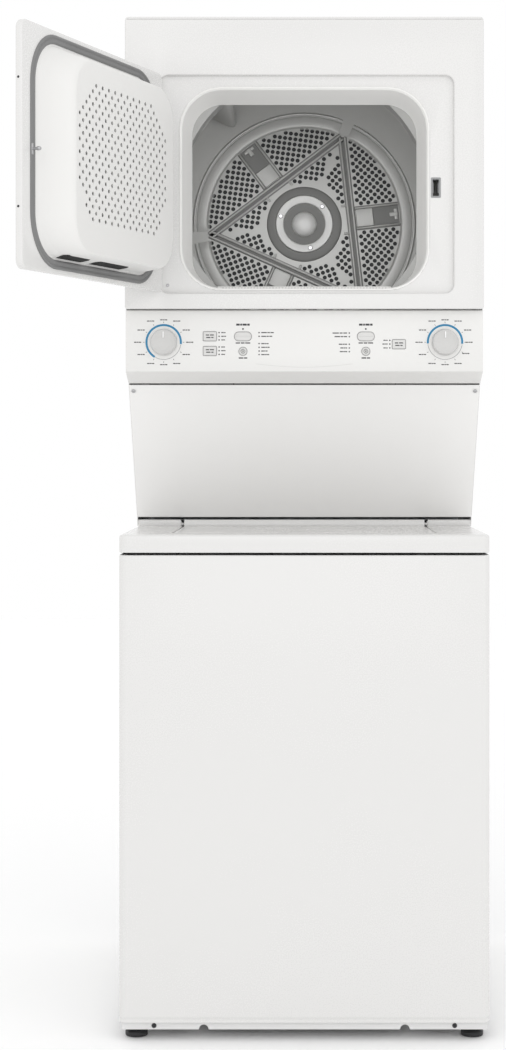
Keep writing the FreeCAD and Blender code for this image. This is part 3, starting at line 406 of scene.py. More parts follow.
def make_finishes(colours):
    finish("enamel", colours.enamel, 0.985, (0.22, 0.32), grain=420, cloud=3, bump=0.06, coat=0.3,
           depth=0.0001)
    finish("white_plastic", colours.plastic, 0.98, (0.3, 0.4), grain=1100, cloud=5, bump=0.08, depth=0.0001)
    finish("liner_plastic", colours.plastic, 0.97, (0.42, 0.52), grain=1600, cloud=6, bump=0.15, depth=0.0001)
    finish("tub_plastic", (0.62, 0.63, 0.63), 0.93, (0.45, 0.6), grain=800, bump=0.2)
    finish("drum_coat", colours.drum, 0.9, (0.42, 0.52), metal=0.3, grain=900, cloud=9, bump=0.12)
    # a lighter copy of the drum coat: painted light on the back plate, its raised ribs and the vanes
    finish("drum_painted_light", [c * 1.3 for c in colours.drum], 0.94, (0.38, 0.48), metal=0.3, grain=900, cloud=8,
           bump=0.1)
    # a darker copy of the drum coat: painted shade in the drum back's recesses, grooves and outlines
    finish("drum_painted_shade", [c * 0.62 for c in colours.drum], 0.85, (0.5, 0.6), metal=0.1, bump=0.1)
    # a near-black finish: painted shade for holes, louvres and the space behind perforations
    finish("painted_hole_shade", (0.035, 0.035, 0.037), 0.8, (0.6, 0.7), bump=0.1)
    finish("stainless", (0.62, 0.62, 0.61), 0.9, (0.2, 0.32), metal=1.0, grain=300, stretch=(1, 1, 12),
           bump=0.08)
    finish("zinc", (0.56, 0.58, 0.60), 0.88, (0.3, 0.45), metal=0.9, grain=500, bump=0.08)
    spangle(MATERIALS["zinc"])
    finish("gasket_grey", (0.24, 0.24, 0.24), 0.8, (0.7, 0.85), grain=1300, cloud=14, bump=0.5, specular=0.3)
    finish("belt_rubber", (0.018, 0.018, 0.019), 0.7, (0.6, 0.75), grain=900, bump=0.4, specular=0.3)
    finish("black_plastic", (0.02, 0.02, 0.022), 0.75, (0.4, 0.55), grain=1000, bump=0.25)
    finish("cast_alloy", (0.48, 0.48, 0.49), 0.85, (0.45, 0.6), metal=0.9, grain=650, bump=0.5)
    finish("motor_enamel", (0.045, 0.045, 0.05), 0.8, (0.4, 0.5), grain=700, bump=0.3)
    finish("turned_steel", (0.5, 0.5, 0.51), 0.88, (0.22, 0.34), metal=1.0, grain=500, stretch=(1, 1, 10),
           bump=0.08)
    finish("print_grey", (0.05, 0.05, 0.053), 0.85, (0.5, 0.6), bump=0.03)
    finish("print_pale", (0.30, 0.305, 0.31), 0.92, (0.5, 0.6), bump=0.03)
    finish("dial_light", colours.light, 0.9, (0.3, 0.4), glow=0.12, bump=0.02)
    # a black finish: painted shade inside the door liner and in its slots
    finish("painted_slot_shade", (0.012, 0.012, 0.012), 0.9, (0.8, 0.9), grain=300, bump=0.05)
    # a lighter copy of the white plastic: painted light on the opening ring, whose inner walls catch less
    # light
    finish("ring_painted_light", [min(0.93, c * 1.1) for c in colours.plastic], 0.97, (0.35, 0.45), grain=900,
           bump=0.05)
    # painted light: lighter enamel for the downward-facing sloped panel
    finish("panel_enamel", colours.panel, 0.98, (0.32, 0.42), grain=1100, bump=0.08, depth=0.0001)
    finish("mark_white", (0.93, 0.93, 0.93), 0.98, (0.3, 0.4), grain=900, bump=0.03)
    finish("zinc_pale", (0.74, 0.74, 0.735), 0.95, (0.4, 0.5), metal=0.1, grain=700, bump=0.06)
    finish("hub_metal", (0.80, 0.80, 0.79), 0.95, (0.4, 0.5), metal=0.15, grain=800, bump=0.08)
    finish("knob_plastic", [c * 0.76 for c in colours.plastic], 0.97, (0.32, 0.42), grain=1100, bump=0.08,
           depth=0.0001)
    finish("key_plastic", [c * 0.86 for c in colours.plastic], 0.97, (0.35, 0.45), grain=1100, bump=0.08,
           depth=0.0001)
    finish("key_shadow", (0.30, 0.30, 0.30), 0.9, (0.5, 0.6), bump=0.05)


# parts whose coat differs from the rest of their kind
NODE_FINISH = {"base_frame": "zinc_pale"}

SLOT_FINISH = {
    "white_enamel": "enamel", "panel_enamel": "panel_enamel", "white_plastic": "white_plastic",
    "tub_plastic": "tub_plastic", "black_plastic": "black_plastic", "grey_gasket": "gasket_grey",
    "black_rubber": "belt_rubber", "drum_steel": "drum_coat", "stainless": "stainless", "galvanised": "zinc",
    "dark_motor": "motor_enamel", "cast_alloy": "cast_alloy", "shaft_steel": "turned_steel",
}


# ---------------------------------------------------------------- geometry node trees
def node_tree(name, sizes):
    """A tree with a geometry input, named sizes and a material input."""
    tree = bpy.data.node_groups.new(name, "GeometryNodeTree")
    face = tree.interface
    face.new_socket("Geometry", in_out="INPUT", socket_type="NodeSocketGeometry")
    for label, default in sizes:
        kind = "NodeSocketInt" if isinstance(default, int) else "NodeSocketFloat"
        face.new_socket(label, in_out="INPUT", socket_type=kind).default_value = default
    face.new_socket("Material", in_out="INPUT", socket_type="NodeSocketMaterial")
    face.new_socket("Geometry", in_out="OUTPUT", socket_type="NodeSocketGeometry")
    return tree, tree.nodes.new("NodeGroupInput"), tree.nodes.new("NodeGroupOutput")


def end_tree(tree, given, out, geometry):
    realize, paint = tree.nodes.new("GeometryNodeRealizeInstances"), tree.nodes.new("GeometryNodeSetMaterial")
    tree.links.new(geometry, realize.inputs[0])
    tree.links.new(realize.outputs[0], paint.inputs["Geometry"])
    tree.links.new(given.outputs["Material"], paint.inputs["Material"])
    tree.links.new(paint.outputs[0], out.inputs[0])
    return tree


def perforated_tree():
    """A flat sheet: edge loops of the input are its outline, loose points are its holes."""
    tree, given, out = node_tree("Perforated Sheet", (("Hole Radius", 0.003), ("Thickness", 0.0015),
                                                      ("Corners", 12)))
    new, link = tree.nodes.new, tree.links.new
    outline = new("GeometryNodeMeshToCurve")
    link(given.outputs["Geometry"], outline.inputs["Mesh"])
    near, alone = new("GeometryNodeInputMeshVertexNeighbors"), new("FunctionNodeCompare")
    alone.data_type, alone.operation = "INT", "EQUAL"
    link(near.outputs["Vertex Count"], alone.inputs[2])
    points = new("GeometryNodeMeshToPoints")
    link(given.outputs["Geometry"], points.inputs["Mesh"])
    link(alone.outputs[0], points.inputs["Selection"])
    hole = new("GeometryNodeCurvePrimitiveCircle")
    link(given.outputs["Corners"], hole.inputs["Resolution"])
    link(given.outputs["Hole Radius"], hole.inputs["Radius"])
    spread, solid, join = (new("GeometryNodeInstanceOnPoints"), new("GeometryNodeRealizeInstances"),
                           new("GeometryNodeJoinGeometry"))
    link(points.outputs[0], spread.inputs["Points"])
    link(hole.outputs[0], spread.inputs["Instance"])
    link(spread.outputs[0], solid.inputs[0])
    link(outline.outputs[0], join.inputs[0])
    link(solid.outputs[0], join.inputs[0])
    fill, push = new("GeometryNodeFillCurve"), new("GeometryNodeExtrudeMesh")
    link(join.outputs[0], fill.inputs["Curve"])
    push.inputs["Individual"].default_value = False
    link(fill.outputs[0], push.inputs["Mesh"])
    link(given.outputs["Thickness"], push.inputs["Offset Scale"])
    flip, both = new("GeometryNodeFlipFaces"), new("GeometryNodeJoinGeometry")
    link(fill.outputs[0], flip.inputs[0])
    link(push.outputs["Mesh"], both.inputs[0])
    link(flip.outputs[0], both.inputs[0])
    return end_tree(tree, given, out, both.outputs[0])


def scatter_tree(name, sizes, build):
    """Small parts set on points, each turned to the point's own facing."""
    tree, given, out = node_tree(name, sizes)
    new, link = tree.nodes.new, tree.links.new
    points, spread = new("GeometryNodeMeshToPoints"), new("GeometryNodeInstanceOnPoints")
    toward, turn = new("GeometryNodeInputNamedAttribute"), new("FunctionNodeAlignRotationToVector")
    toward.data_type = "FLOAT_VECTOR"
    toward.inputs["Name"].default_value = "facing"
    turn.axis = "Z"
    link(toward.outputs[0], turn.inputs["Vector"])
    link(given.outputs["Geometry"], points.inputs["Mesh"])
    link(points.outputs[0], spread.inputs["Points"])
    link(turn.outputs[0], spread.inputs["Rotation"])
    link(build(tree, given), spread.inputs["Instance"])
    return end_tree(tree, given, out, spread.outputs[0])


def screw_part(tree, given):
    """A domed head with a cross of two shallow bars."""
    new, link = tree.nodes.new, tree.links.new
    head, dome = new("GeometryNodeMeshCone"), new("GeometryNodeJoinGeometry")
    head.inputs["Vertices"].default_value = 24
    link(scaled(tree, given.outputs["Radius"], 0.72), head.inputs["Radius Top"])
    link(given.outputs["Radius"], head.inputs["Radius Bottom"])
    link(given.outputs["Height"], head.inputs["Depth"])
    link(head.outputs[0], dome.inputs[0])
    for turn in (0, 1):
        size, bar = new("ShaderNodeCombineXYZ"), new("GeometryNodeMeshCube")
        lift, shift = new("GeometryNodeTransform"), new("ShaderNodeCombineXYZ")
        link(scaled(tree, given.outputs["Radius"], 1.1), size.inputs[turn])
        link(scaled(tree, given.outputs["Radius"], 0.25), size.inputs[1 - turn])
        size.inputs[2].default_value = 0.0003
        link(size.outputs[0], bar.inputs["Size"])
        link(given.outputs["Height"], shift.inputs[2])
        link(bar.outputs[0], lift.inputs["Geometry"])
        link(shift.outputs[0], lift.inputs["Translation"])
        link(lift.outputs[0], dome.inputs[0])
    return dome.outputs[0]


def slot_part(tree, given):
    """A short flat slat."""
    new, link = tree.nodes.new, tree.links.new
    size, bar = new("ShaderNodeCombineXYZ"), new("GeometryNodeMeshCube")
    link(given.outputs["Length"], size.inputs[0])
    link(given.outputs["Width"], size.inputs[1])
    link(given.outputs["Height"], size.inputs[2])
    link(size.outputs[0], bar.inputs["Size"])
    return bar.outputs[0]


def punched_part(tree, given):
    """A shallow dark disc: painted shade standing in for a hole in a curved wall."""
    new, link = tree.nodes.new, tree.links.new
    disc = new("GeometryNodeMeshCylinder")
    disc.inputs["Vertices"].default_value = 10
    link(given.outputs["Radius"], disc.inputs["Radius"])
    link(given.outputs["Height"], disc.inputs["Depth"])
    return disc.outputs[0]


def grown(name, tree, points, sizes, finish_name, loops=(), facings=None, matrix=None):
    """Points and loops, in millimetres, run through a tree; gives a plain mesh in metres.

    A flat sheet is drawn on the ground and carried to its place by the matrix, in millimetres."""
    shift = Vector() if matrix else MIDDLE
    verts = [Vector(p) * MM + shift for p in points]
    edges = []
    for loop in loops:
        base = len(verts)
        verts += [Vector(p) * MM + shift for p in loop]
        edges += [(base + i, base + (i + 1) % len(loop)) for i in range(len(loop))]
    mesh = bpy.data.meshes.new(name + "_points")
    mesh.from_pydata(verts, edges, [])
    if facings:
        layer = mesh.attributes.new("facing", "FLOAT_VECTOR", "POINT")
        for i, toward in enumerate(facings):
            layer.data[i].vector = toward
    item = bpy.data.objects.new(name + "_points", mesh)
    bpy.context.scene.collection.objects.link(item)
    modifier = item.modifiers.new("Grow", "NODES")
    modifier.node_group = tree
    sockets = {s.name: s.identifier for s in tree.interface.items_tree if getattr(s, "in_out", "") == "INPUT"}
    for label, value in sizes.items():
        modifier[sockets[label]] = value
    modifier[sockets["Material"]] = MATERIALS[finish_name]
    grown_mesh = evaluated_mesh(item, name)
    if matrix:
        grown_mesh.transform(Matrix.Translation(MIDDLE) @ Matrix.Scale(MM, 4) @ matrix
                             @ Matrix.Scale(1 / MM, 4))
    return grown_mesh


TREES = {}


def trees():
    if not TREES:
        TREES["sheet"] = perforated_tree()
        TREES["screw"] = scatter_tree("Screws", (("Radius", 0.004), ("Height", 0.0018)), screw_part)
        TREES["slat"] = scatter_tree("Slats", (("Length", 0.003), ("Width", 0.008), ("Height", 0.0006)),
                                     slot_part)
        TREES["punch"] = scatter_tree("Punched Holes", (("Radius", 0.003), ("Height", 0.0004)), punched_part)
    return TREES


def scattered(name, kind, places, sizes, finish_name, body=CABINET):
    """Small parts at (point, facing) pairs."""
    mesh = grown(name, trees()[kind], [p for p, t in places], sizes, finish_name,
                 facings=[t for p, t in places])
    return piece(name, mesh, finish_name, body, tidy=False)


def screws(name, places, body=CABINET, finish_name="turned_steel", radius=4.0, height=1.6):
    """Cross-head screws at (point, facing) pairs."""
    return scattered(name, "screw", places, {"Radius": radius * MM, "Height": height * MM}, finish_name, body)


# ---------------------------------------------------------------- places in the door and the drum
DIAL_Z = 1298
DRUM_Z = 1583
STRIKE_Z = 1594
HINGE = Vector((-279.0, -268.0, 0.0))
DRUM_AXIS = (0.0, DRUM_Z)
WASH_Y = -70
WASH_AXIS = (0.0, WASH_Y)
SHUT, INSIDE = -270.4, -257.4
POCKET = (-277.0, 1391.0, 286.0, 1808.0)
MOUTH = (-240.0, 1397.0, 240.0, 1787.0)


def swing(angle):
    """Carries a shape drawn on the shut door to where the door is drawn."""
    turn = Matrix.Rotation(math.radians(-angle), 4, "Z")
    return Matrix.Translation(HINGE) @ turn @ Matrix.Translation(-HINGE)


def inset(rect, amount, radius, steps=8):
    x0, z0, x1, z1 = rect
    return round_rect(x0 + amount, z0 + amount, x1 - amount, z1 - amount, radius - amount, steps)


class LaundryOperator:
    bl_options = {"REGISTER", "UNDO"}

    def execute(self, context):
        self.make(context.scene)
        return {"FINISHED"}


class LAUNDRY_OT_finishes(LaundryOperator, bpy.types.Operator):
    """Make every finish and give one to each part carried over from the design"""
    bl_idname = "laundry.finishes"
    bl_label = "Finishes"

    def make(self, scene):
        make_finishes(scene.laundry_finish)
        for entry in frame["record"]["subparts"]:
            item = frame["nodes"][entry["node"]]
            item.data.materials.clear()
            look = NODE_FINISH.get(entry["node"], SLOT_FINISH[entry["material_slot"]])
            item.data.materials.append(MATERIALS[look])


class LAUNDRY_OT_washer_front(LaundryOperator, bpy.types.Operator):
    """Washer front: one folded sheet with rounded corners, a hem and a shadow gap"""
    bl_idname = "laundry.washer_front"
    bl_label = "Washer Front"

    def make(self, scene):
        bend, edge = scene.laundry_cabinet.front_bend, scene.laundry_cabinet.edge

        def plan(amount):
            """The open front outline drawn twice, outside and inside, as one closed loop."""
            radius = max(bend - amount, 1)
            left, right, front, back = -343 + amount, 343 - amount, -400 + amount, -378.0
            path = [(left, back)]
            path += [(left + radius - radius * cosd(a), front + radius - radius * sind(a))
                     for a in range(0, 91, 9)]
            path += [(right - radius + radius * sind(a), front + radius - radius * cosd(a))
                     for a in range(0, 91, 9)]
            return path + [(right, back)]

        rows = [(14, 34.0), (1.2, 34.0), (0.5, 34.6), (0.9, 36), (0.9, 42.0), (0.1, 43.2)]
        rows += [(0, 44 + edge)] + [(edge - edge * cosd(a), 897 - edge + edge * sind(a))
                                    for a in (0, 22, 45, 68, 90)] + [(14, 897)]
        outer = [[(x, y, z) for x, y in plan(amount)] for amount, z in rows]
        back_rows = [(14, 895.8), (1.6, 895.8), (1.3, 885), (1.3, 45), (2.2, 43), (2.2, 35.4), (14, 35.4)]
        inner = [[(x, y, z) for x, y in plan(amount)] for amount, z in back_rows]
        loops = outer + inner
        n = len(loops[0])
        shape = Shape()
        shape.verts = [p for loop in loops for p in loop]
        total = len(loops)
        for k in range(total):
            a, b = k * n, ((k + 1) % total) * n
            shape.faces += [(a + i, a + i + 1, b + i + 1, b + i) for i in range(n - 1)]
        shape.faces += [tuple(k * n for k in range(total)), tuple(k * n + n - 1 for k in range(total))[::-1]]
        piece("front_sheet", shape, "enamel", CABINET, ["washer_front_panel"])


class LAUNDRY_OT_deck(LaundryOperator, bpy.types.Operator):
    """Washer deck with its rounded edge, lid well, tub mouth, risers and hinge pins"""
    bl_idname = "laundry.deck"
    bl_label = "Deck"

    def make(self, scene):
        r = scene.laundry_cabinet.deck_edge
        rim = (-343, -400, 343, 380)
        well = (-250.5, -317.5, 250.5, 60)
        mouth = (-190, -285, 190, 11)

        def loop(rect, amount, radius, z):
            return lying(inset(rect, amount, radius), z)
        loops = [loop(rim, 10, 17, 902.4), loop(rim, 1.6, 15, 901.6), loop(rim, 0.4, 15, 902.2),
                 loop(rim, 0, 15, 903.6)]
        loops += [loop(rim, a, 16, z) for a, z in quarter((0, 935 - r), (r, 935), 6)]
        loops += [loop(well, -2, 6, 935), loop(well, -0.6, 5, 934.4), loop(well, 0, 5, 933),
                  loop(well, 0, 5, 915), loop(well, 2, 5, 912), loop(mouth, -6, 66, 912),
                  loop(mouth, -2, 62, 911), loop(mouth, 0, 60, 908), loop(mouth, 0, 60, 898),
                  loop(mouth, -1.5, 60, 898), loop(mouth, -1.5, 60, 910), loop(well, -1.5, 5, 910),
                  loop(well, -1.5, 5, 933.4), loop(rim, 4, 14, 933.4), loop(rim, 1.4, 14, 928),
                  loop(rim, 1.4, 14, 904)]
        shape = Shape().chain(loops, closed=True)
        for low in (-343, 253.5):
            shape.block((low + 0.5, 30, 934.6), (low + 89.5, 32, 948), 0.8)
            shape.block((low + 0.5, 30, 946.4), (low + 89.5, 52, 948), 0.7)
        for side in (-1, 1):
            xs = sorted((side * 252, side * 264))
            shape.block((xs[0], 32.4, 934.6), (xs[1], 44, 945), 0.8)
            ends = sorted((side * 226, side * 262))
            shape.spun([(0, ends[0]), (2.4, ends[0]), (3, ends[0] + 0.6), (3, ends[1] - 0.6), (2.4, ends[1]),
                        (0, ends[1])], (36, 938.6), "x", 24, closed=False)
        piece("deck_pressing", shape, "enamel", CABINET, ["washer_top_deck"])


class LAUNDRY_OT_lid(LaundryOperator, bpy.types.Operator):
    """Washer lid: shallow pressing with a rolled edge, coved upstand and hinge ears"""
    bl_idname = "laundry.lid"
    bl_label = "Lid"

    def make(self, scene):
        rect = (-248, -315, 248, 31)

        def loop(amount, z):
            return lying(inset(rect, amount, 8), z)
        loops = [loop(3, 917), loop(1, 917), loop(0.2, 918), loop(0, 920)]
        loops += [lying(inset(rect, a, 8), z) for a, z in quarter((0, 931.5), (3.5, 935), 5)]
        loops += [loop(14, 935.0), loop(17, 934.6), loop(24, 934.5)]
        under = [loop(24, 933), loop(3, 933), loop(2, 930), loop(2, 918)]
        shape = Shape().chain(loops + [loop(60, 934.5)], caps=False)
        flat = loop(60, 934.5)
        shape.add(flat, [tuple(range(len(flat)))])
        shape.chain([loops[0]] + under[::-1] + [loop(60, 933)], caps=False)
        floor = loop(60, 933)
        shape.add(floor, [tuple(range(len(floor)))[::-1]])
        cove = [(20, 934.4), (24, 934.9), (27, 936.2), (28.6, 938.5), (29, 941), (29, 946.6), (29.7, 947.8),
                (30.6, 947.6), (31, 946.6), (31, 919), (30, 918), (29, 919), (29, 932.4), (20, 932.8)]
        shape.chain([[(x, y, z) for y, z in cove] for x in (-246.5, -80, 80, 246.5)])
        for low in (-236, 228):
            ear = [(30, 924), (38, 924), (41, 928), (41, 941), (38, 944), (33, 944), (30, 941)]
            shape.chain([[(x, y, z) for y, z in ear] for x in (low, low + 8)])
        piece("lid_pressing", shape, "enamel", "lid", ["washer_lid"])


class LAUNDRY_OT_dryer_shell(LaundryOperator, bpy.types.Operator):
    """Dryer front with its door pocket, the top panel and the opening ring"""
    bl_idname = "laundry.dryer_shell"
    bl_label = "Dryer Shell"

    def make(self, scene):
        edge = scene.laundry_cabinet.edge
        face = (-343, 1361, 343, 1915)

        def loop(rect, amount, radius, y):
            return facing(inset(rect, amount, radius), y)
        r = 1.6
        loops = [loop(face, 0, 4, -246), loop(face, 0, 4, r - 264.4)]
        loops += [loop(face, a, 4, y) for a, y in quarter((0, r - 264), (r, -264), 5)]
        loops += [loop(POCKET, -edge, 17, -264)]
        loops += [loop(POCKET, a, 17, y) for a, y in quarter((-edge, -264), (0, -264 + edge), 4, "last")]
        loops += [loop(POCKET, a, 17, y) for a, y in quarter((0, -254 - edge), (edge, -254), 4)]
        loops += [loop(MOUTH, -1, 82, -254), loop(MOUTH, 0, 82, -253.5), loop(MOUTH, 0, 82, -252.8),
                  loop(POCKET, -1.2, 18, -252.8), loop(POCKET, -1.2, 18, -262.8), loop(face, 2, 5, -262.8),
                  loop(face, 1.2, 5, -258), loop(face, 1.2, 5, -246)]
        cutter = Shape().block((245, -262, 1577), (259, -240, 1611), 0.4)
        mesh = carved("dryer_face", Shape().chain(loops, closed=True), [cutter])
        piece("dryer_face", mesh, "enamel", CABINET, ["dryer_front_panel"])
        rim = (-343, -264, 343, 380)

        def level(amount, z):
            return lying(inset(rim, amount, 10), z)
        top = [level(1.5, 1915), level(0.3, 1915.3), level(0, 1916)]
        top += [lying(inset(rim, a, 10), z) for a, z in quarter((0, 1916.5), (3.5, 1920), 5)]
        piece("top_sheet", Shape().chain(top), "enamel", CABINET, ["dryer_top_panel"])

        def throat(amount, y, under=0.0):
            x0, z0, x1, z1 = MOUTH
            low = z0 - 0.85 * max(0, amount - 5) - under
            return facing(inset((x0, low, x1, z1 - max(0, amount - 5) * 0.15), amount, 82, 12), y)
        ring = [throat(5.5, -251, 1.5), throat(0.3, -253.8), throat(0.2, -254.15), throat(0.8, -254.3),
                throat(2.2, -254.25), throat(4, -252.8), throat(5.2, -250), throat(9, -236), throat(14, -220),
                throat(18.6, -204), throat(21, -197), throat(22, -194.2), throat(19, -194.2, 1.8),
                throat(15, -204, 2), throat(10, -222, 2)]
        cutter = Shape().block((-161, -213.6, 1380), (161, -198.6, 1440), 0.4)
        mesh = carved("opening_ring", Shape().chain(ring, closed=True), [cutter])
        # the opening ring takes the lighter copy of the white plastic: painted light
        piece("opening_ring", mesh, "ring_painted_light", CABINET, ["opening_bezel"])
        notches = [((x, -246.5, 1402.3), (0, -0.08, 0.99)) for x in range(-156, 157, 6)]
        scattered("lint_grille", "slat", notches, {"Length": 0.0026, "Width": 0.009, "Height": 0.0008},
                  "key_shadow")
        guard = [facing(circle(rad, 144, 0, DRUM_Z), y) for rad, y in ((322, -193.2), (247, -193.2),
                                                                       (243.5, -192), (243, -189),
                                                                       (243, -146), (244.5, -144.8),
                                                                       (246, -146), (246, -189), (249, -191),
                                                                       (322, -191))]
        sheet = Shape().chain(guard, closed=True)
        sheet.block((-339, -193, 1264), (-300, -191.4, 1898), 0.5)
        sheet.block((300, -193, 1264), (339, -191.4, 1898), 0.5)
        piece("drum_guard", sheet, "drum_coat", CABINET, ["front_bulkhead"])


class LAUNDRY_OT_console(LaundryOperator, bpy.types.Operator):
    """Console moulding with its end caps, key holes and printed marks"""
    bl_idname = "laundry.console"
    bl_label = "Console"

    def make(self, scene):
        outer = [(-185, 1221), (-243, 1240.2), (-246.5, 1241.9), (-248, 1244.5), (-248, 1357),
                 (-247.4, 1358.9), (-246, 1359.8), (-244, 1360), (-214, 1360)]
        inner = [(-214, 1357.5), (-244, 1357.5), (-245.5, 1356), (-245.5, 1245.5), (-242, 1242.6),
                 (-185, 1223.4)]
        profile = outer + inner
        shape = Shape().chain([[(x, y, z) for y, z in profile] for x in (-341, -120, 120, 341)])
        cap = [(-180.6, 1220.4), (-185, 1221)] + outer[1:-1] + [(-180.6, 1360)]
        centre = (sum(p[0] for p in cap) / len(cap), sum(p[1] for p in cap) / len(cap))
        for side in (-1, 1):
            rows = []
            for x, scale in ((341.0, 0.999), (342.9, 0.996)):
                rows.append([(side * x, centre[0] + (y - centre[0]) * scale,
                              centre[1] + (z - centre[1]) * scale) for y, z in cap])
            shape.chain(rows)
        cutters = []
        for x, z, half, tall, corner in KEYS.values():
            cutters.append(Shape().chain([facing(round_rect(x - half - 0.4, z - tall - 0.4, x + half + 0.4,
                                                            z + tall + 0.4, corner + 0.4), y)
                                          for y in (-255, -240)]))
        for x in (-270, 270):
            cutters.append(Shape().chain([facing(circle(3.4, 24, x, DIAL_Z), y) for y in (-255, -240)]))
        piece("console_moulding", carved("console_moulding", shape, cutters), "white_plastic", CABINET,
              ["console_panel"])
        self.prints()

    def prints(self):
        """Flat marks a hair proud of the face."""
        dark, pale, lit, shade_dashes = Shape(), Shape(), Shape(), Shape()
        low, high = -248.12, -247.9

        def dash(shape, x, z, wide, tall=0.9, tilt=0.0):
            since = len(shape.verts)
            shape.chain([facing(round_rect(-wide / 2, -tall / 2, wide / 2, tall / 2, 0.2, 1), y)
                         for y in (low, high)])
            shape.turned(Matrix.Translation((x, 0, z)) @ Matrix.Rotation(math.radians(-tilt), 4, "Y"), since)

        def arc(shape, x, z, r0, r1, start, end):
            count = max(6, int((end - start) / 4))
            angles = [math.radians(start + (end - start) * i / count) for i in range(count + 1)]
            loops = [[(x + r * math.cos(a), y, z + r * math.sin(a)) for r, y in
                      ((r0, low), (r1, low), (r1, high), (r0, high))] for a in angles]
            shape.chain(loops)

        def words(shape, x, z, lengths, tall=1.5, gap=1.3):
            """A plain word made of short bars."""
            at = x - (sum(lengths) + gap * (len(lengths) - 1)) / 2
            for length in lengths:
                dash(shape, at + length / 2, z, length, tall)
                at += length + gap
        for x, start, end, quiet in ((-270, -6, 239, (239, 354)), (270, -5, 184, (184, 355))):
            arc(lit, x, DIAL_Z, 31.0, 35.0, start, end)
            arc(pale, x, DIAL_Z, 32.6, 33.5, quiet[0] + 2, quiet[1] - 2)
            for k in range(12):
                a = 90 + 30 * k
                rad = math.radians(a)
                dash(dark, x + 38.2 * math.cos(rad), DIAL_Z + 38.2 * math.sin(rad), 2.8, 0.8, a)
                reach = 50 if abs(math.cos(rad)) > 0.3 else 46
                if -40 < ((a + 180) % 360) - 180 + 20 < 30 and x > 0:
                    reach = 46
                words(dark, x + reach * math.cos(rad), DIAL_Z + (reach - 3) * math.sin(rad), (5.0, 3.0, 4.2),
                      1.9, 0.8)
        for x, zs, side, spans in ((-163.6, (1316.5, 1309.4, 1302.5), 1, (8, 9, 7)),
                                   (-163.6, (1288.9, 1281.8, 1274.7), 1, (7, 8, 7)),
                                   (-86.9, (1316.5, 1309.4), 1, (24, 21)),
                                   (-86.9, (1295.4, 1288.3, 1281.2, 1274.3), 1, (14, 16, 12, 15)),
                                   (86.3, (1315.7, 1308.8), -1, (28, 24)),
                                   (86.3, (1294.2, 1287.1, 1280), -1, (16, 13, 14)),
                                   (164, (1301.7, 1294.6, 1287.1), -1, (8, 10, 8))):
            for z, span in zip(zs, spans):
                arc(dark, x, z, 0.02, 1.4, 0, 360)
                words(dark, x + side * (4.2 + span / 2), z, (span * 0.44, span * 0.2, span * 0.26), 2.0,
                      span * 0.05)
        for x in (-117.8, 118):
            words(dark, x, 1331.8, (6.8, 3.4, 8.0, 4.8), 3.8, 1.0)
            arc(dark, x, 1323.5, 0.02, 1.7, 0, 360)
            words(dark, x, 1296.6, (8.4, 7.2, 9.6), 2.2, 1.4)
            words(dark, x, 1267.8, (9, 6.2), 2.4, 1.2)
        # painted shade: short darker dashes along the faint smile-shaped crease near the console's bottom
        # centre
        crease = [(x, 1256.5 - 6.5 * math.cos(math.pi * x / 186)) for x in range(-93, 94, 6)]
        for (xa, za), (xb, zb) in zip(crease, crease[1:]):
            dash(shade_dashes, (xa + xb) / 2, (za + zb) / 2, 6.4, 0.8, math.degrees(math.atan2(zb - za, xb - xa)))
        for x, z in ((-181.3, 1309.4), (-181.3, 1281.2), (181.5, 1294.2)):
            since = len(dark.verts)
            words(dark, x, z + 2.4, (6.4, 7.6), 2.0, 1.6)
            words(dark, x, z - 2.4, (8.2, 4.2), 2.0, 1.6)
            dark.turned(Matrix.Translation((0, -1.8, 0)), since)
        for name, shape, finish_name in (("console_marks", dark, "print_grey"),
                                         ("console_bars", pale, "print_pale"),
                                         ("dial_arcs", lit, "dial_light"),
                                         ("console_crease_shade", shade_dashes, "key_plastic")):
            piece(name, shape, finish_name, CABINET)


KEYS = {
    "washer_option_button": (-181.3, 1309.4, 12.5, 8.5, 1.5),
    "washer_temperature_button": (-181.3, 1281.2, 12.5, 8.5, 1.5),
    "washer_start_button": (-117.8, 1309.2, 16, 8.2, 8),
    "washer_cancel_button": (-117.8, 1280.6, 7.5, 7.5, 7.4),
    "dryer_start_button": (118, 1309.2, 16, 8.2, 8),
    "dryer_cancel_button": (118, 1280.6, 7.5, 7.5, 7.4),
    "dryer_signal_button": (181.5, 1294.2, 12.5, 8.5, 1.5),
}


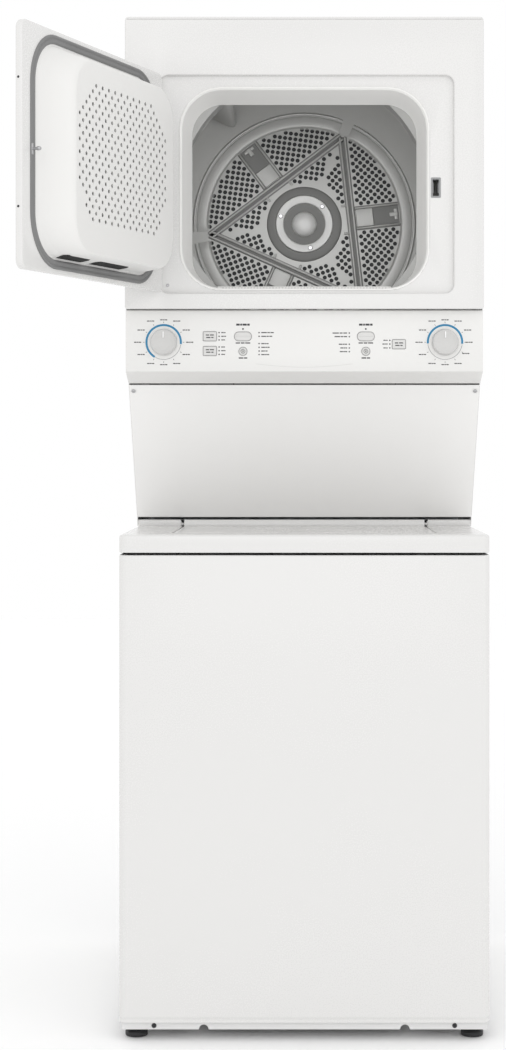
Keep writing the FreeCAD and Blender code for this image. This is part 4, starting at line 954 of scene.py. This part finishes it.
class LAUNDRY_OT_controls(LaundryOperator, bpy.types.Operator):
    """The two dials and the seven keys"""
    bl_idname = "laundry.controls"
    bl_label = "Controls"

    def make(self, scene):
        for word, x in (("washer", -270), ("dryer", 270)):
            body = word + "_dial"
            shape = Shape().spun([(0, -262.2), (12, -262.6), (20, -264.6), (22.2, -265.8), (23.3, -265.2),
                                  (24, -263), (25.2, -252), (25.8, -249.6), (25.4, -248.6), (3.0, -248.6),
                                  (3.0, -230), (0, -230)], (x, DIAL_Z), "y", 72, closed=False)
            piece(word + "_dial_grip", shape, "knob_plastic", body, [word + "_knob"])
            mark = Shape().chain([facing(round_rect(x - 0.9, DIAL_Z + 8, x + 0.9, DIAL_Z + 20, 0.8, 3), y)
                                  for y in (-265.6, -262)])
            piece(word + "_dial_mark", mark, "mark_white", body)
        shadow = Shape()
        for name, (x, z, half, tall, corner) in KEYS.items():
            rows = []
            for amount, y in ((1.4, -249.8), (0.5, -249.6), (0, -249.0), (0, -240)):
                outline = round_rect(x - half + amount, z - tall + amount, x + half - amount,
                                     z + tall - amount, corner - amount * 0.8, 8)
                rows.append(facing(outline, y))
            shape = Shape().chain(rows)
            shape.block((x - half - 2, -244.7, z - tall - 2), (x + half + 2, -243.2, z + tall + 2), 0.3)
            piece(name + "_cap", shape, "key_plastic", name.replace("_button", "_key"), [name])
            rim = [facing(round_rect(x - half - g, z - tall - g, x + half + g, z + tall + g, corner + g, 8),
                          y) for g, y in ((0.45, -247.9), (0.5, -248.25), (1.0, -248.3), (1.2, -247.9))]
            shadow.chain(rim, closed=True)
        piece("key_surrounds", shadow, "key_shadow", CABINET)
        for x, body in ((-117.8, "washer_cancel_key"), (118, "dryer_cancel_key")):
            cross = Shape()
            ring = [facing(circle(r, 32, x, 1280.6), y) for r, y in
                    ((3.4, -249.82), (4.2, -249.82), (4.2, -249.5), (3.4, -249.5))]
            cross.chain(ring, closed=True)
            for s in (-1, 1):
                cross.bar((x - 1.8, -249.5, 1280.6 - 1.8 * s), (x + 1.8, -249.5, 1280.6 + 1.8 * s), 0.7, 0.35,
                          AHEAD, 0.1)
            piece(body + "_sign", cross, "print_grey", body)


class LAUNDRY_OT_drum(LaundryOperator, bpy.types.Operator):
    """Dryer drum: smooth shell, three vanes and the perforated back with its ribs and hub"""
    bl_idname = "laundry.drum"
    bl_label = "Drum"

    def make(self, scene):
        sizes = scene.laundry_drum
        body = "dryer_drum"
        count = sizes.spokes
        shell = Shape().spun([(250.4, -160), (252, -160.0), (309, -160), (312, -158), (313, -155), (313, -60),
                              (312.2, -52), (313, -44), (313, 296), (312, 296), (312, -44), (311.2, -52),
                              (312, -60), (312, -153), (309, -156.5), (306, -158.4), (252, -158.4),
                              (250, -157), (250, -159)], DRUM_AXIS, "y", count)
        piece("drum_wall", shell, "drum_coat", body, ["drum_shell"])
        vanes = Shape()
        for angle in (126, 6, 246):
            since = len(vanes.verts)
            rows = []
            for y, s in ((-146, 0.55), (-140, 0.86), (-128, 0.98), (-100, 1), (240, 1), (262, 0.98),
                         (272, 0.86), (277, 0.55)):
                section = []
                for k in range(17):
                    u = -1 + 2 * k / 16
                    h = (0.5 + 0.5 * math.cos(math.pi * u)) ** 0.75
                    section.append((36 * u, 311.5 - 55 * s * h))
                rows.append([(p, y, q) for p, q in section] + [(36, y, 312), (-36, y, 312)])
            vanes.chain(rows)
            vanes.turned(Matrix.Translation((0, 0, DRUM_Z))
                         @ Matrix.Rotation(math.radians(angle - 90) * -1, 4, "Y"), since)
        # the vanes take the lighter copy of the drum coat: painted light
        piece("vane_ridges", vanes, "drum_painted_light", body, ["drum_vanes"])
        self.back(sizes, body)

    def bars(self, shape, level, normals, places):
        """Bars from one (out, across) place to another, drawn along each of the angles."""
        for angle in normals:
            out, along = Vector((cosd(angle), 0, sind(angle))), Vector((-sind(angle), 0, cosd(angle)))
            for start, end, width, height, edge in places:
                ends = [Vector((0, level, DRUM_Z)) + out * a + along * b for a, b in (start, end)]
                shape.bar(*ends, width, height, AHEAD, edge)

    def back(self, sizes, body):
        normals = (127.0, 6.4, 246.0)
        rib, step = sizes.rib, sizes.pitch
        points = []
        for angle in normals:
            nx, nz = cosd(angle), sind(angle)
            for i in range(-26, 27):
                for j in range(-26, 27):
                    if (i + j) % 2:
                        continue
                    n, q = i * step, j * step
                    r = math.hypot(n, q)
                    x, z = n * nx - q * nz, n * nz + q * nx
                    reach = sorted(x * cosd(b) + z * sind(b) for b in normals)
                    mine = n >= reach[2] - 1e-6
                    outer = n > rib + 11.5 and r < 207.5 and abs(q) > 27
                    lobe = min(abs((math.degrees(math.atan2(z, x)) - b + 180) % 360 - 180)
                               for b in (187, 66.4, 306))
                    inner = n < rib - 13 and 92 < r < 176 and r * sind(lobe) > 7
                    if mine and (outer or inner):
                        points.append((x, z, 0))
        # the back plate takes the lighter copy of the drum coat: painted light
        mesh = grown("drum_plate", trees()["sheet"], points,
                     {"Hole Radius": sizes.hole * MM, "Thickness": 0.0015, "Corners": 14}, "drum_painted_light",
                     loops=[[(x, z, 0) for x, z in circle(312.5, 144)]],
                     matrix=Matrix(((1, 0, 0, 0), (0, 0, -1, 296.5), (0, 1, 0, DRUM_Z), (0, 0, 0, 1))))
        piece("drum_plate", mesh, "drum_painted_light", body, ["drum_back"])
        # a dark disc just behind the drum plate: painted shade seen through its holes
        dark = Shape().spun([(0, 297.2), (311, 297.2), (311, 298), (0, 298)], DRUM_AXIS, "y", 96,
                            closed=False)
        piece("drum_hole_shade", dark, "painted_hole_shade", body)
        # raised ring and ribs in the lighter copy of the drum coat: painted light on the relief
        relief = Shape()
        ring = [(209, 295.6), (211, 292.4), (213.4, 290.4), (216, 289.8), (231, 289.6), (233.6, 290.2),
                (235, 292), (237, 292), (238.4, 290.2), (240, 289.8), (242, 291), (244, 295.6)]
        for start, end in ((-50.5, 63.5), (69.5, 184), (190, 303)):
            rows = []
            for i in range(49):
                a = math.radians(start + (end - start) * i / 48)
                ease = 0.35 if i in (0, 48) else (0.8 if i in (1, 47) else 1)
                rows.append([(r * math.cos(a), 295.6 + (y - 295.6) * ease, DRUM_Z + r * math.sin(a))
                             for r, y in ring])
            relief.chain(rows)
        hub = Shape().spun([(62.4, 290), (61.8, 285.8), (60.6, 284.6), (47.4, 284.6), (46, 285.2), (45, 288),
                            (44.6, 295.4), (62.4, 295.4)], DRUM_AXIS, "y", 96)
        hub.spun([(0, 278.4), (8, 278.6), (16, 279.8), (22, 282.4), (25.4, 286), (26.6, 290), (27, 295.4),
                  (0, 295.4)], DRUM_AXIS, "y", 72, closed=False)
        piece("hub_rings", hub, "hub_metal", body)
        half = math.sqrt(207 ** 2 - rib ** 2)
        bars = [((rib + lift, -half), (rib + lift, half), 5.0, 6.0, 2.0) for lift in (-5.5, 5.5)]
        bars += [((rib + 10, side), (209, side), 4.2, 4.6, 1.8) for side in (-22, 22)]
        bars += [((rib + 11, 0), (rib + 48, 0), 38, 4.6, 0.9), ((rib + 84, 0), (rib + 102, 0), 9, 4.6, 0.9),
                 ((rib + 98, -12), (rib + 98, 12), 7, 3.6, 0.9)]
        bars += [((84, side), (rib - 8, side), 5, 4.6, 1.8) for side in (-30, 30)]
        self.bars(relief, 295.2, normals, bars)
        piece("drum_relief", relief, "drum_painted_light", body)
        # painted shade: darker rings and bars on the hub's outer slope and recess, round the ring's edges,
        # and in the grooves and pockets beside the ribs
        shade = Shape()
        shade.spun([(44.8, 291.4), (27.2, 294.6), (27.2, 295.6), (44.8, 295.6)], DRUM_AXIS, "y", 72)
        shade.spun([(82, 295.4), (81, 292.8), (79, 291.4), (76, 291.2), (65, 288.2), (63, 288.4),
                    (62.6, 295.6)], DRUM_AXIS, "y", 96)
        for low, high in ((206.5, 211), (243, 246.5)):
            shade.spun([(low, 295.1), (high, 295.1), (high, 295.6), (low, 295.6)], DRUM_AXIS, "y", 96)
        bars = [((rib + 48, 0), (rib + 105, 0), 38, 0.7, 0.3), ((rib, -half), (rib, half), 20, 0.5, 0.2)]
        bars += [((rib + 10, side), (208, side), 9, 0.5, 0.2) for side in (-22, 22)]
        self.bars(shade, 295.4, normals, bars)
        piece("drum_recess_shade", shade, "drum_painted_shade", body)
        spots = [((54 * cosd(a), 284.4, DRUM_Z + 54 * sind(a)), AHEAD)
                 for a in (44, 162, 284)]
        screws("hub_screws", spots, body, "turned_steel", 5.2, 2.4)


class LAUNDRY_OT_door(LaundryOperator, bpy.types.Operator):
    """Dryer door: folded skin with its knuckles, grey gasket, deep perforated liner and strike"""
    bl_idname = "laundry.door"
    bl_label = "Door"

    def make(self, scene):
        sizes = scene.laundry_door
        turn = swing(sizes.opening)
        rect = (-276, 1392, 285, 1807)

        def loop(amount, y, radius=16):
            return facing(inset(rect, amount, radius), y)
        loops = [loop(a, y) for a, y in quarter((4, SHUT), (0, SHUT + 4), 5, "last")]
        loops += [loop(0, INSIDE - 2)] + [loop(a, y) for a, y in quarter((0, INSIDE - 2), (1.6, INSIDE), 4)]
        loops += [loop(9, INSIDE), loop(11, INSIDE)]
        cutters = [Shape().block((-283, SHUT - 3, z - 8), (-263, INSIDE + 4, z + 48), 0.3)
                   for z in (1446, 1713)]
        mesh = carved("door_skin", Shape().chain(loops).turned(turn), [c.turned(turn) for c in cutters])
        piece("door_skin", mesh, "enamel", "door", ["door_outer_panel"])
        knuckles = Shape()
        for z in (1446, 1713):
            knuckles.spun([(3.1, z), (5, z), (5.5, z + 0.5), (5.5, z + 39.5), (5, z + 40), (3.1, z + 40)],
                          (HINGE.x, HINGE.y), "z", 32)
            knuckles.block((-275, -270, z), (-261, -264, z + 40), 0.6)
        piece("door_knuckles", knuckles.turned(turn), "turned_steel", "door")

        seal = (-255, 1400, 256, 1799)
        section = [(0, 0), (0.4, 1.5), (1.8, 2.6), (4.2, 2.6), (6.0, 1.2), (7.2, 0.9), (8.6, 1.6),
                   (10.8, 2.6), (13.4, 2.6), (15.2, 1.5), (16, 0)]
        gasket = Shape().chain([facing(inset(seal, a, 92, 14), INSIDE + h) for a, h in section], closed=True)
        piece("door_seal", gasket.turned(turn), "gasket_grey", "door", ["door_gasket"])

        base, top = (-234, 1419, 237.5, 1781), (-213, 1428, 183, 1757)
        rows = []
        steps = 18
        for k in range(steps + 1):
            s = k / steps
            ease = s * s * (3 - 2 * s)
            flow = [b + (t - b) * s for b, t in zip(base, top)]
            rows.append(facing(round_rect(*flow, 67 - 7 * s, 12), INSIDE + 0.2 + 49.4 * ease))
        lip = [facing(round_rect(*base, 67, 12), INSIDE - 0.2)]
        inner_rows = [[(x * 0.985, y - 1.6, z) for x, y, z in row] for row in rows[::-1]]
        wall = Shape().chain(lip + rows + [inner_rows[0], inner_rows[-1]], caps=False)
        piece("door_liner_wall", wall.turned(turn), "liner_plastic", "door", ["door_inner_liner"])
        points = []
        x0, x1, z0, z1, chamfer = -179.0, 171.2, 1488.0, 1726.0, 46.0
        columns = round((x1 - x0) / sizes.column)
        for c in range(columns + 1):
            x = x0 + c * sizes.column
            z = z0 - 3 * sizes.row + (sizes.row / 2 if c % 2 else 0)
            while z <= z1:
                corner = min(x - x0, x1 - x) + min(z - z0, z1 - z)
                if z >= z0 and corner > chamfer:
                    points.append((-x, z, 0))
                z += sizes.row
        mesh = grown("door_liner_face", trees()["sheet"], points,
                     {"Hole Radius": sizes.hole * MM, "Thickness": 0.002, "Corners": 12}, "liner_plastic",
                     loops=[[(-x, z, 0) for x, z in round_rect(*top, 60, 12)]],
                     matrix=turn @ Matrix(((-1, 0, 0, 0), (0, 0, 1, INSIDE + 47.6), (0, 1, 0, 0),
                                           (0, 0, 0, 1))))
        piece("door_liner_face", mesh, "liner_plastic", "door")
        # a black sheet inside the liner, behind its holes: painted shade
        hollow = Shape().chain([facing(round_rect(top[0] + 4, top[1] + 4, top[2] - 4, top[3] - 4, 56, 8), y)
                                for y in (INSIDE + 40, INSIDE + 41)])
        piece("door_liner_hole_shade", hollow.turned(turn), "painted_slot_shade", "door")
        # thin dark strips on the liner wall: painted shade for its air slots
        vent_shade_strips = Shape()
        for low, high in ((72, 168), (-84, 44)):
            corners = [(low + 4, 0.08), (high - 4, 0.08), (high, 0.16), (high, 0.38), (high - 8, 0.48),
                       (low + 8, 0.48), (low, 0.38), (low, 0.16)]
            sheet = []
            for drop in (-0.5, 0.8):
                sheet.append([(x, INSIDE + 0.2 + 49.4 * t * t * (3 - 2 * t),
                               base[1] + (top[1] - base[1]) * t + drop) for x, t in corners])
            vent_shade_strips.chain(sheet)
        piece("door_slot_shade", vent_shade_strips.turned(turn), "painted_slot_shade", "door")
        strike = Shape().block((249.4, INSIDE, 1584.4), (254.6, INSIDE + 3.2, 1603.6), 0.8)
        strike.spun([(0, INSIDE + 2), (2.3, INSIDE + 2), (2.3, INSIDE + 10), (3.6, INSIDE + 12.5),
                     (3.4, INSIDE + 16), (2.2, INSIDE + 18), (0, INSIDE + 18.2)], (252, STRIKE_Z), "y", 24,
                    closed=False)
        piece("door_strike_stud", strike.turned(turn), "turned_steel", "door", ["door_strike"])
        # dark discs on the door edge: painted shade for its two holes
        spots = []
        for z in (1709, 1495):
            spots.append((tuple(turn @ Vector((285.05, INSIDE - 6.5, z))),
                          tuple(turn.to_3x3() @ Vector((1, 0, 0)))))
        scattered("door_edge_holes", "punch", spots, {"Radius": 0.0022, "Height": 0.0003}, "painted_hole_shade",
                  "door")


class LAUNDRY_OT_fittings(LaundryOperator, bpy.types.Operator):
    """Feet, catch, panel screws, lint filter and the fasteners of the back"""
    bl_idname = "laundry.fittings"
    bl_label = "Fittings"

    def make(self, scene):
        feet = Shape()
        for x in (-313, 313):
            for y in (-355, 335):
                feet.spun([(0, 0), (18, 0), (20.4, 0.8), (21, 2.4), (21, 8), (19.6, 10), (14, 12.4), (11, 14),
                           (10, 18), (0, 18)], (x, y), "z", 48, closed=False)
                hexagon = [(x + 9.5 * cosd(60 * k), y + 9.5 * sind(60 * k)) for k in range(6)]
                feet.chain([lying(hexagon, z) for z in (14.4, 19.6)])
                thread = []
                for k in range(24):
                    z = 18 + k * 2
                    thread += [(4.2, z), (4.9, z + 1)]
                feet.spun([(0, 17.8)] + thread + [(0, 66.5)], (x, y), "z", 20, closed=False)
        piece("foot_set", feet, "black_plastic", CABINET, ["leveling_feet"])
        catch = Shape().chain([facing(round_rect(*r), y)
                               for r, y in (((243, 1575, 261, 1613, 2), -253.6),
                                            ((242.4, 1574.4, 261.6, 1613.6, 2), -254.15),
                                            ((245, 1577, 259, 1611, 1.5), -254.3),
                                            ((246.2, 1578.2, 257.8, 1609.8, 1.5), -253.4),
                                            ((246.2, 1578.2, 257.8, 1609.8, 1.5), -230),
                                            ((243, 1575, 261, 1613, 2), -230))], closed=True)
        catch.block((246.3, -251.5, 1584), (247.8, -232, 1604), 0.4)
        catch.block((256.2, -251.5, 1584), (257.7, -232, 1604), 0.4)
        piece("catch_clip", catch, "print_pale", CABINET, ["door_catch"])
        lean = (0, -0.79, -0.61)
        screws("panel_screws", [((-334, -172.6, 1206), lean), ((334, -172.6, 1206), lean)], CABINET,
               "turned_steel", 4.2, 1.4)
        screws("pocket_screw", [((-262, -254.2, 1407), AHEAD)], CABINET, "turned_steel", 3.2, 1.2)
        rear = [((x, 380.1, z), BEHIND) for z in (60, 330, 600, 868, 960, 1260, 1580, 1890)
                for x in (-330, 330)]
        rear += [((x, 380.1, z), BEHIND) for z in (960, 1890) for x in (-165, 0, 165)]
        screws("back_screws", rear, CABINET, "turned_steel", 4.4, 1.6)
        # dark slats on the back: painted shade for the louvre openings
        louvres = [((x, 380.2, z), BEHIND) for x in range(-240, -60, 14) for z in (1700, 1740, 1780)]
        scattered("back_louvres", "slat", louvres, {"Length": 0.006, "Width": 0.026, "Height": 0.0008},
                  "painted_hole_shade")
        bolts = [((x, -392.2, 27), AHEAD) for x in (-278, 278)]
        screws("base_bolts", bolts, CABINET, "black_plastic", 4.6, 2.2)
        lint = Shape()
        lint.block((-168, -215.2, 1403.6), (168, -197.2, 1407.8), 0.9)
        lint.block((-160, -211, 1390), (160, -201, 1404), 0.8)
        lint.block((-160, -211, 1254), (-148, -201, 1403), 0.8)
        lint.block((148, -211, 1254), (160, -201, 1403), 0.8)
        lint.block((-160, -211, 1254), (160, -201, 1266), 0.8)
        lint.block((-6, -210, 1254), (6, -202, 1403), 0.8)
        piece("lint_frame", lint, "liner_plastic", "filter", ["lint_filter"])
        slats = [((x, -206, 1334), BEHIND) for x in range(-144, 147, 4)]
        scattered("lint_mesh", "slat", slats, {"Length": 0.0012, "Width": 0.140, "Height": 0.0012},
                  "print_pale", "filter")


class LAUNDRY_OT_wash_unit(LaundryOperator, bpy.types.Operator):
    """Wash basket with its punched wall and the agitator with its fins"""
    bl_idname = "laundry.wash_unit"
    bl_label = "Wash Unit"

    def make(self, scene):
        basket = Shape().spun([(20.1, 275.4), (44, 275.4), (45, 277), (45, 286), (250, 286), (258, 290),
                               (261.6, 298), (261.6, 786), (260, 789.6), (252, 790), (238, 789), (236.4, 784),
                               (236.4, 764), (238, 760.4), (258.4, 758), (259.6, 750), (259.6, 300),
                               (256.6, 293), (249, 288.6), (44, 288.4), (40, 295), (20.1, 295)], WASH_AXIS,
                              "z", 128)
        piece("basket_wall", basket, "stainless", "basket", ["wash_basket"])
        # dark discs round the basket wall: painted shade for its punched holes
        punched = []
        for row in range(22):
            for k in range(72):
                a = 2 * math.pi * (k + 0.5 * (row % 2)) / 72
                punched.append(((259.4 * math.cos(a), WASH_Y + 259.4 * math.sin(a), 318 + 19.5 * row),
                                (-math.cos(a), -math.sin(a), 0)))
        scattered("basket_holes", "punch", punched, {"Radius": 0.0022, "Height": 0.0005}, "painted_hole_shade",
                  "basket")
        post = Shape().spun([(12.1, 301.4), (188, 301.4), (190, 303), (189, 306), (150, 314), (104, 326),
                             (76, 344), (62, 372), (54, 460), (46, 600), (41, 690), (40.4, 700), (39.6, 703),
                             (36, 709), (27, 713.4), (14, 713.9), (12.1, 713.4)], WASH_AXIS, "z", 72)
        for angle in (0, 90, 180, 270):
            since = len(post.verts)
            outline = [(50, 306), (146, 308), (149, 316), (140, 330), (112, 362), (90, 410), (74, 470),
                       (62, 516), (50, 530)]
            rows = [[(x, s, z) for x, z in outline] for s in (-5.5, -4, 4, 5.5)]
            rows = [[(x - (1.4 if abs(s) > 5 else 0), y, z - (1 if abs(s) > 5 else 0)) for x, y, z in row]
                    for row, s in zip(rows, (-5.5, -4, 4, 5.5))]
            post.chain(rows)
            post.turned(Matrix.Translation((0, WASH_Y, 0)) @ Matrix.Rotation(math.radians(angle), 4, "Z"),
                        since)
        piece("agitator_post", post, "white_plastic", "agitator_unit", ["agitator"])


class LAUNDRY_OT_stage(LaundryOperator, bpy.types.Operator):
    """Pale floor, soft lights, white surroundings and the camera"""
    bl_idname = "laundry.stage"
    bl_label = "Stage"

    def make(self, scene):
        floor = Shape()
        floor.add([(-9000, -9000, -0.5), (9000, -9000, -0.5), (9000, 9000, -0.5), (-9000, 9000, -0.5)],
                  [(0, 1, 2, 3)])
        finish("floor_white", (0.97, 0.97, 0.97), 0.985, (0.6, 0.7), grain=200, glow=0.04, bump=0.02)
        mesh = plain_mesh("floor", floor)
        mesh.materials.append(MATERIALS["floor_white"])
        ground = bpy.data.objects.new("floor", mesh)
        scene.collection.objects.link(ground)
        world = bpy.data.worlds.new("White Room")
        scene.world = world
        world.use_nodes = True
        back = world.node_tree.nodes["Background"]
        back.inputs["Color"].default_value = (1, 1, 1, 1)
        back.inputs["Strength"].default_value = 1.0
        for name, at, look, size, power in (("key", (-1.6, -4.2, 3.4), (0, -0.2, 1.2), 2.4, 16),
                                            ("fill", (2.6, -3.6, 2.4), (0, -0.2, 1.5), 2.4, 12),
                                            ("front", (0.0, -4.6, 1.9), (0, 0, 1.6), 1.8, 8)):
            light = bpy.data.lights.new(name, "AREA")
            light.shape, light.size, light.energy = "SQUARE", size, power
            lamp = bpy.data.objects.new(name, light)
            lamp.location = Vector(at) + MIDDLE
            lamp.rotation_euler = (Vector(look) - Vector(at)).to_track_quat("-Z", "Y").to_euler()
            scene.collection.objects.link(lamp)
        light = bpy.data.lights.new("drum glow", "AREA")
        light.shape, light.size, light.size_y, light.energy = "RECTANGLE", 0.40, 0.34, 0.55
        lamp = bpy.data.objects.new("drum glow", light)
        lamp.location = Vector((0, -0.15, 1.583)) + MIDDLE
        lamp.rotation_euler = (math.radians(90), 0, 0)
        scene.collection.objects.link(lamp)
        data = bpy.data.cameras.new("camera")
        data.lens, data.sensor_width = 70.6, 36
        data.shift_x, data.shift_y = -0.0489, -0.0743
        data.clip_end = 60
        camera = bpy.data.objects.new("camera", data)
        camera.location = Vector((0, -4.2, 1.097)) + MIDDLE
        camera.rotation_euler = (math.radians(90), 0, 0)
        scene.collection.objects.link(camera)
        scene.camera = camera
        scene.view_settings.view_transform = "Standard"


OPERATORS = (LAUNDRY_OT_finishes, LAUNDRY_OT_washer_front, LAUNDRY_OT_deck, LAUNDRY_OT_lid,
             LAUNDRY_OT_dryer_shell, LAUNDRY_OT_console, LAUNDRY_OT_controls, LAUNDRY_OT_drum,
             LAUNDRY_OT_door, LAUNDRY_OT_fittings, LAUNDRY_OT_wash_unit, LAUNDRY_OT_stage)


class LAUNDRY_PT_panel(bpy.types.Panel):
    """Every step of the laundry centre, with its sizes and colours"""
    bl_label = "Laundry Centre"
    bl_space_type = "VIEW_3D"
    bl_region_type = "UI"
    bl_category = "Laundry Centre"

    def draw(self, context):
        for name, group in SETTINGS:
            box = self.layout.box()
            for prop in group.__annotations__:
                box.prop(getattr(context.scene, name), prop)
        for operator in OPERATORS:
            self.layout.operator(operator.bl_idname)


CLASSES = tuple(group for name, group in SETTINGS) + OPERATORS + (LAUNDRY_PT_panel,)


def register():
    for item in CLASSES:
        bpy.utils.register_class(item)
    for name, group in SETTINGS:
        setattr(bpy.types.Scene, name, PointerProperty(type=group))


def unregister():
    for name, group in SETTINGS:
        delattr(bpy.types.Scene, name)
    for item in reversed(CLASSES):
        bpy.utils.unregister_class(item)


def main():
    register()
    for operator in OPERATORS:
        family, step = operator.bl_idname.split(".")
        getattr(getattr(bpy.ops, family), step)()


if __name__ == "__main__":
    main()
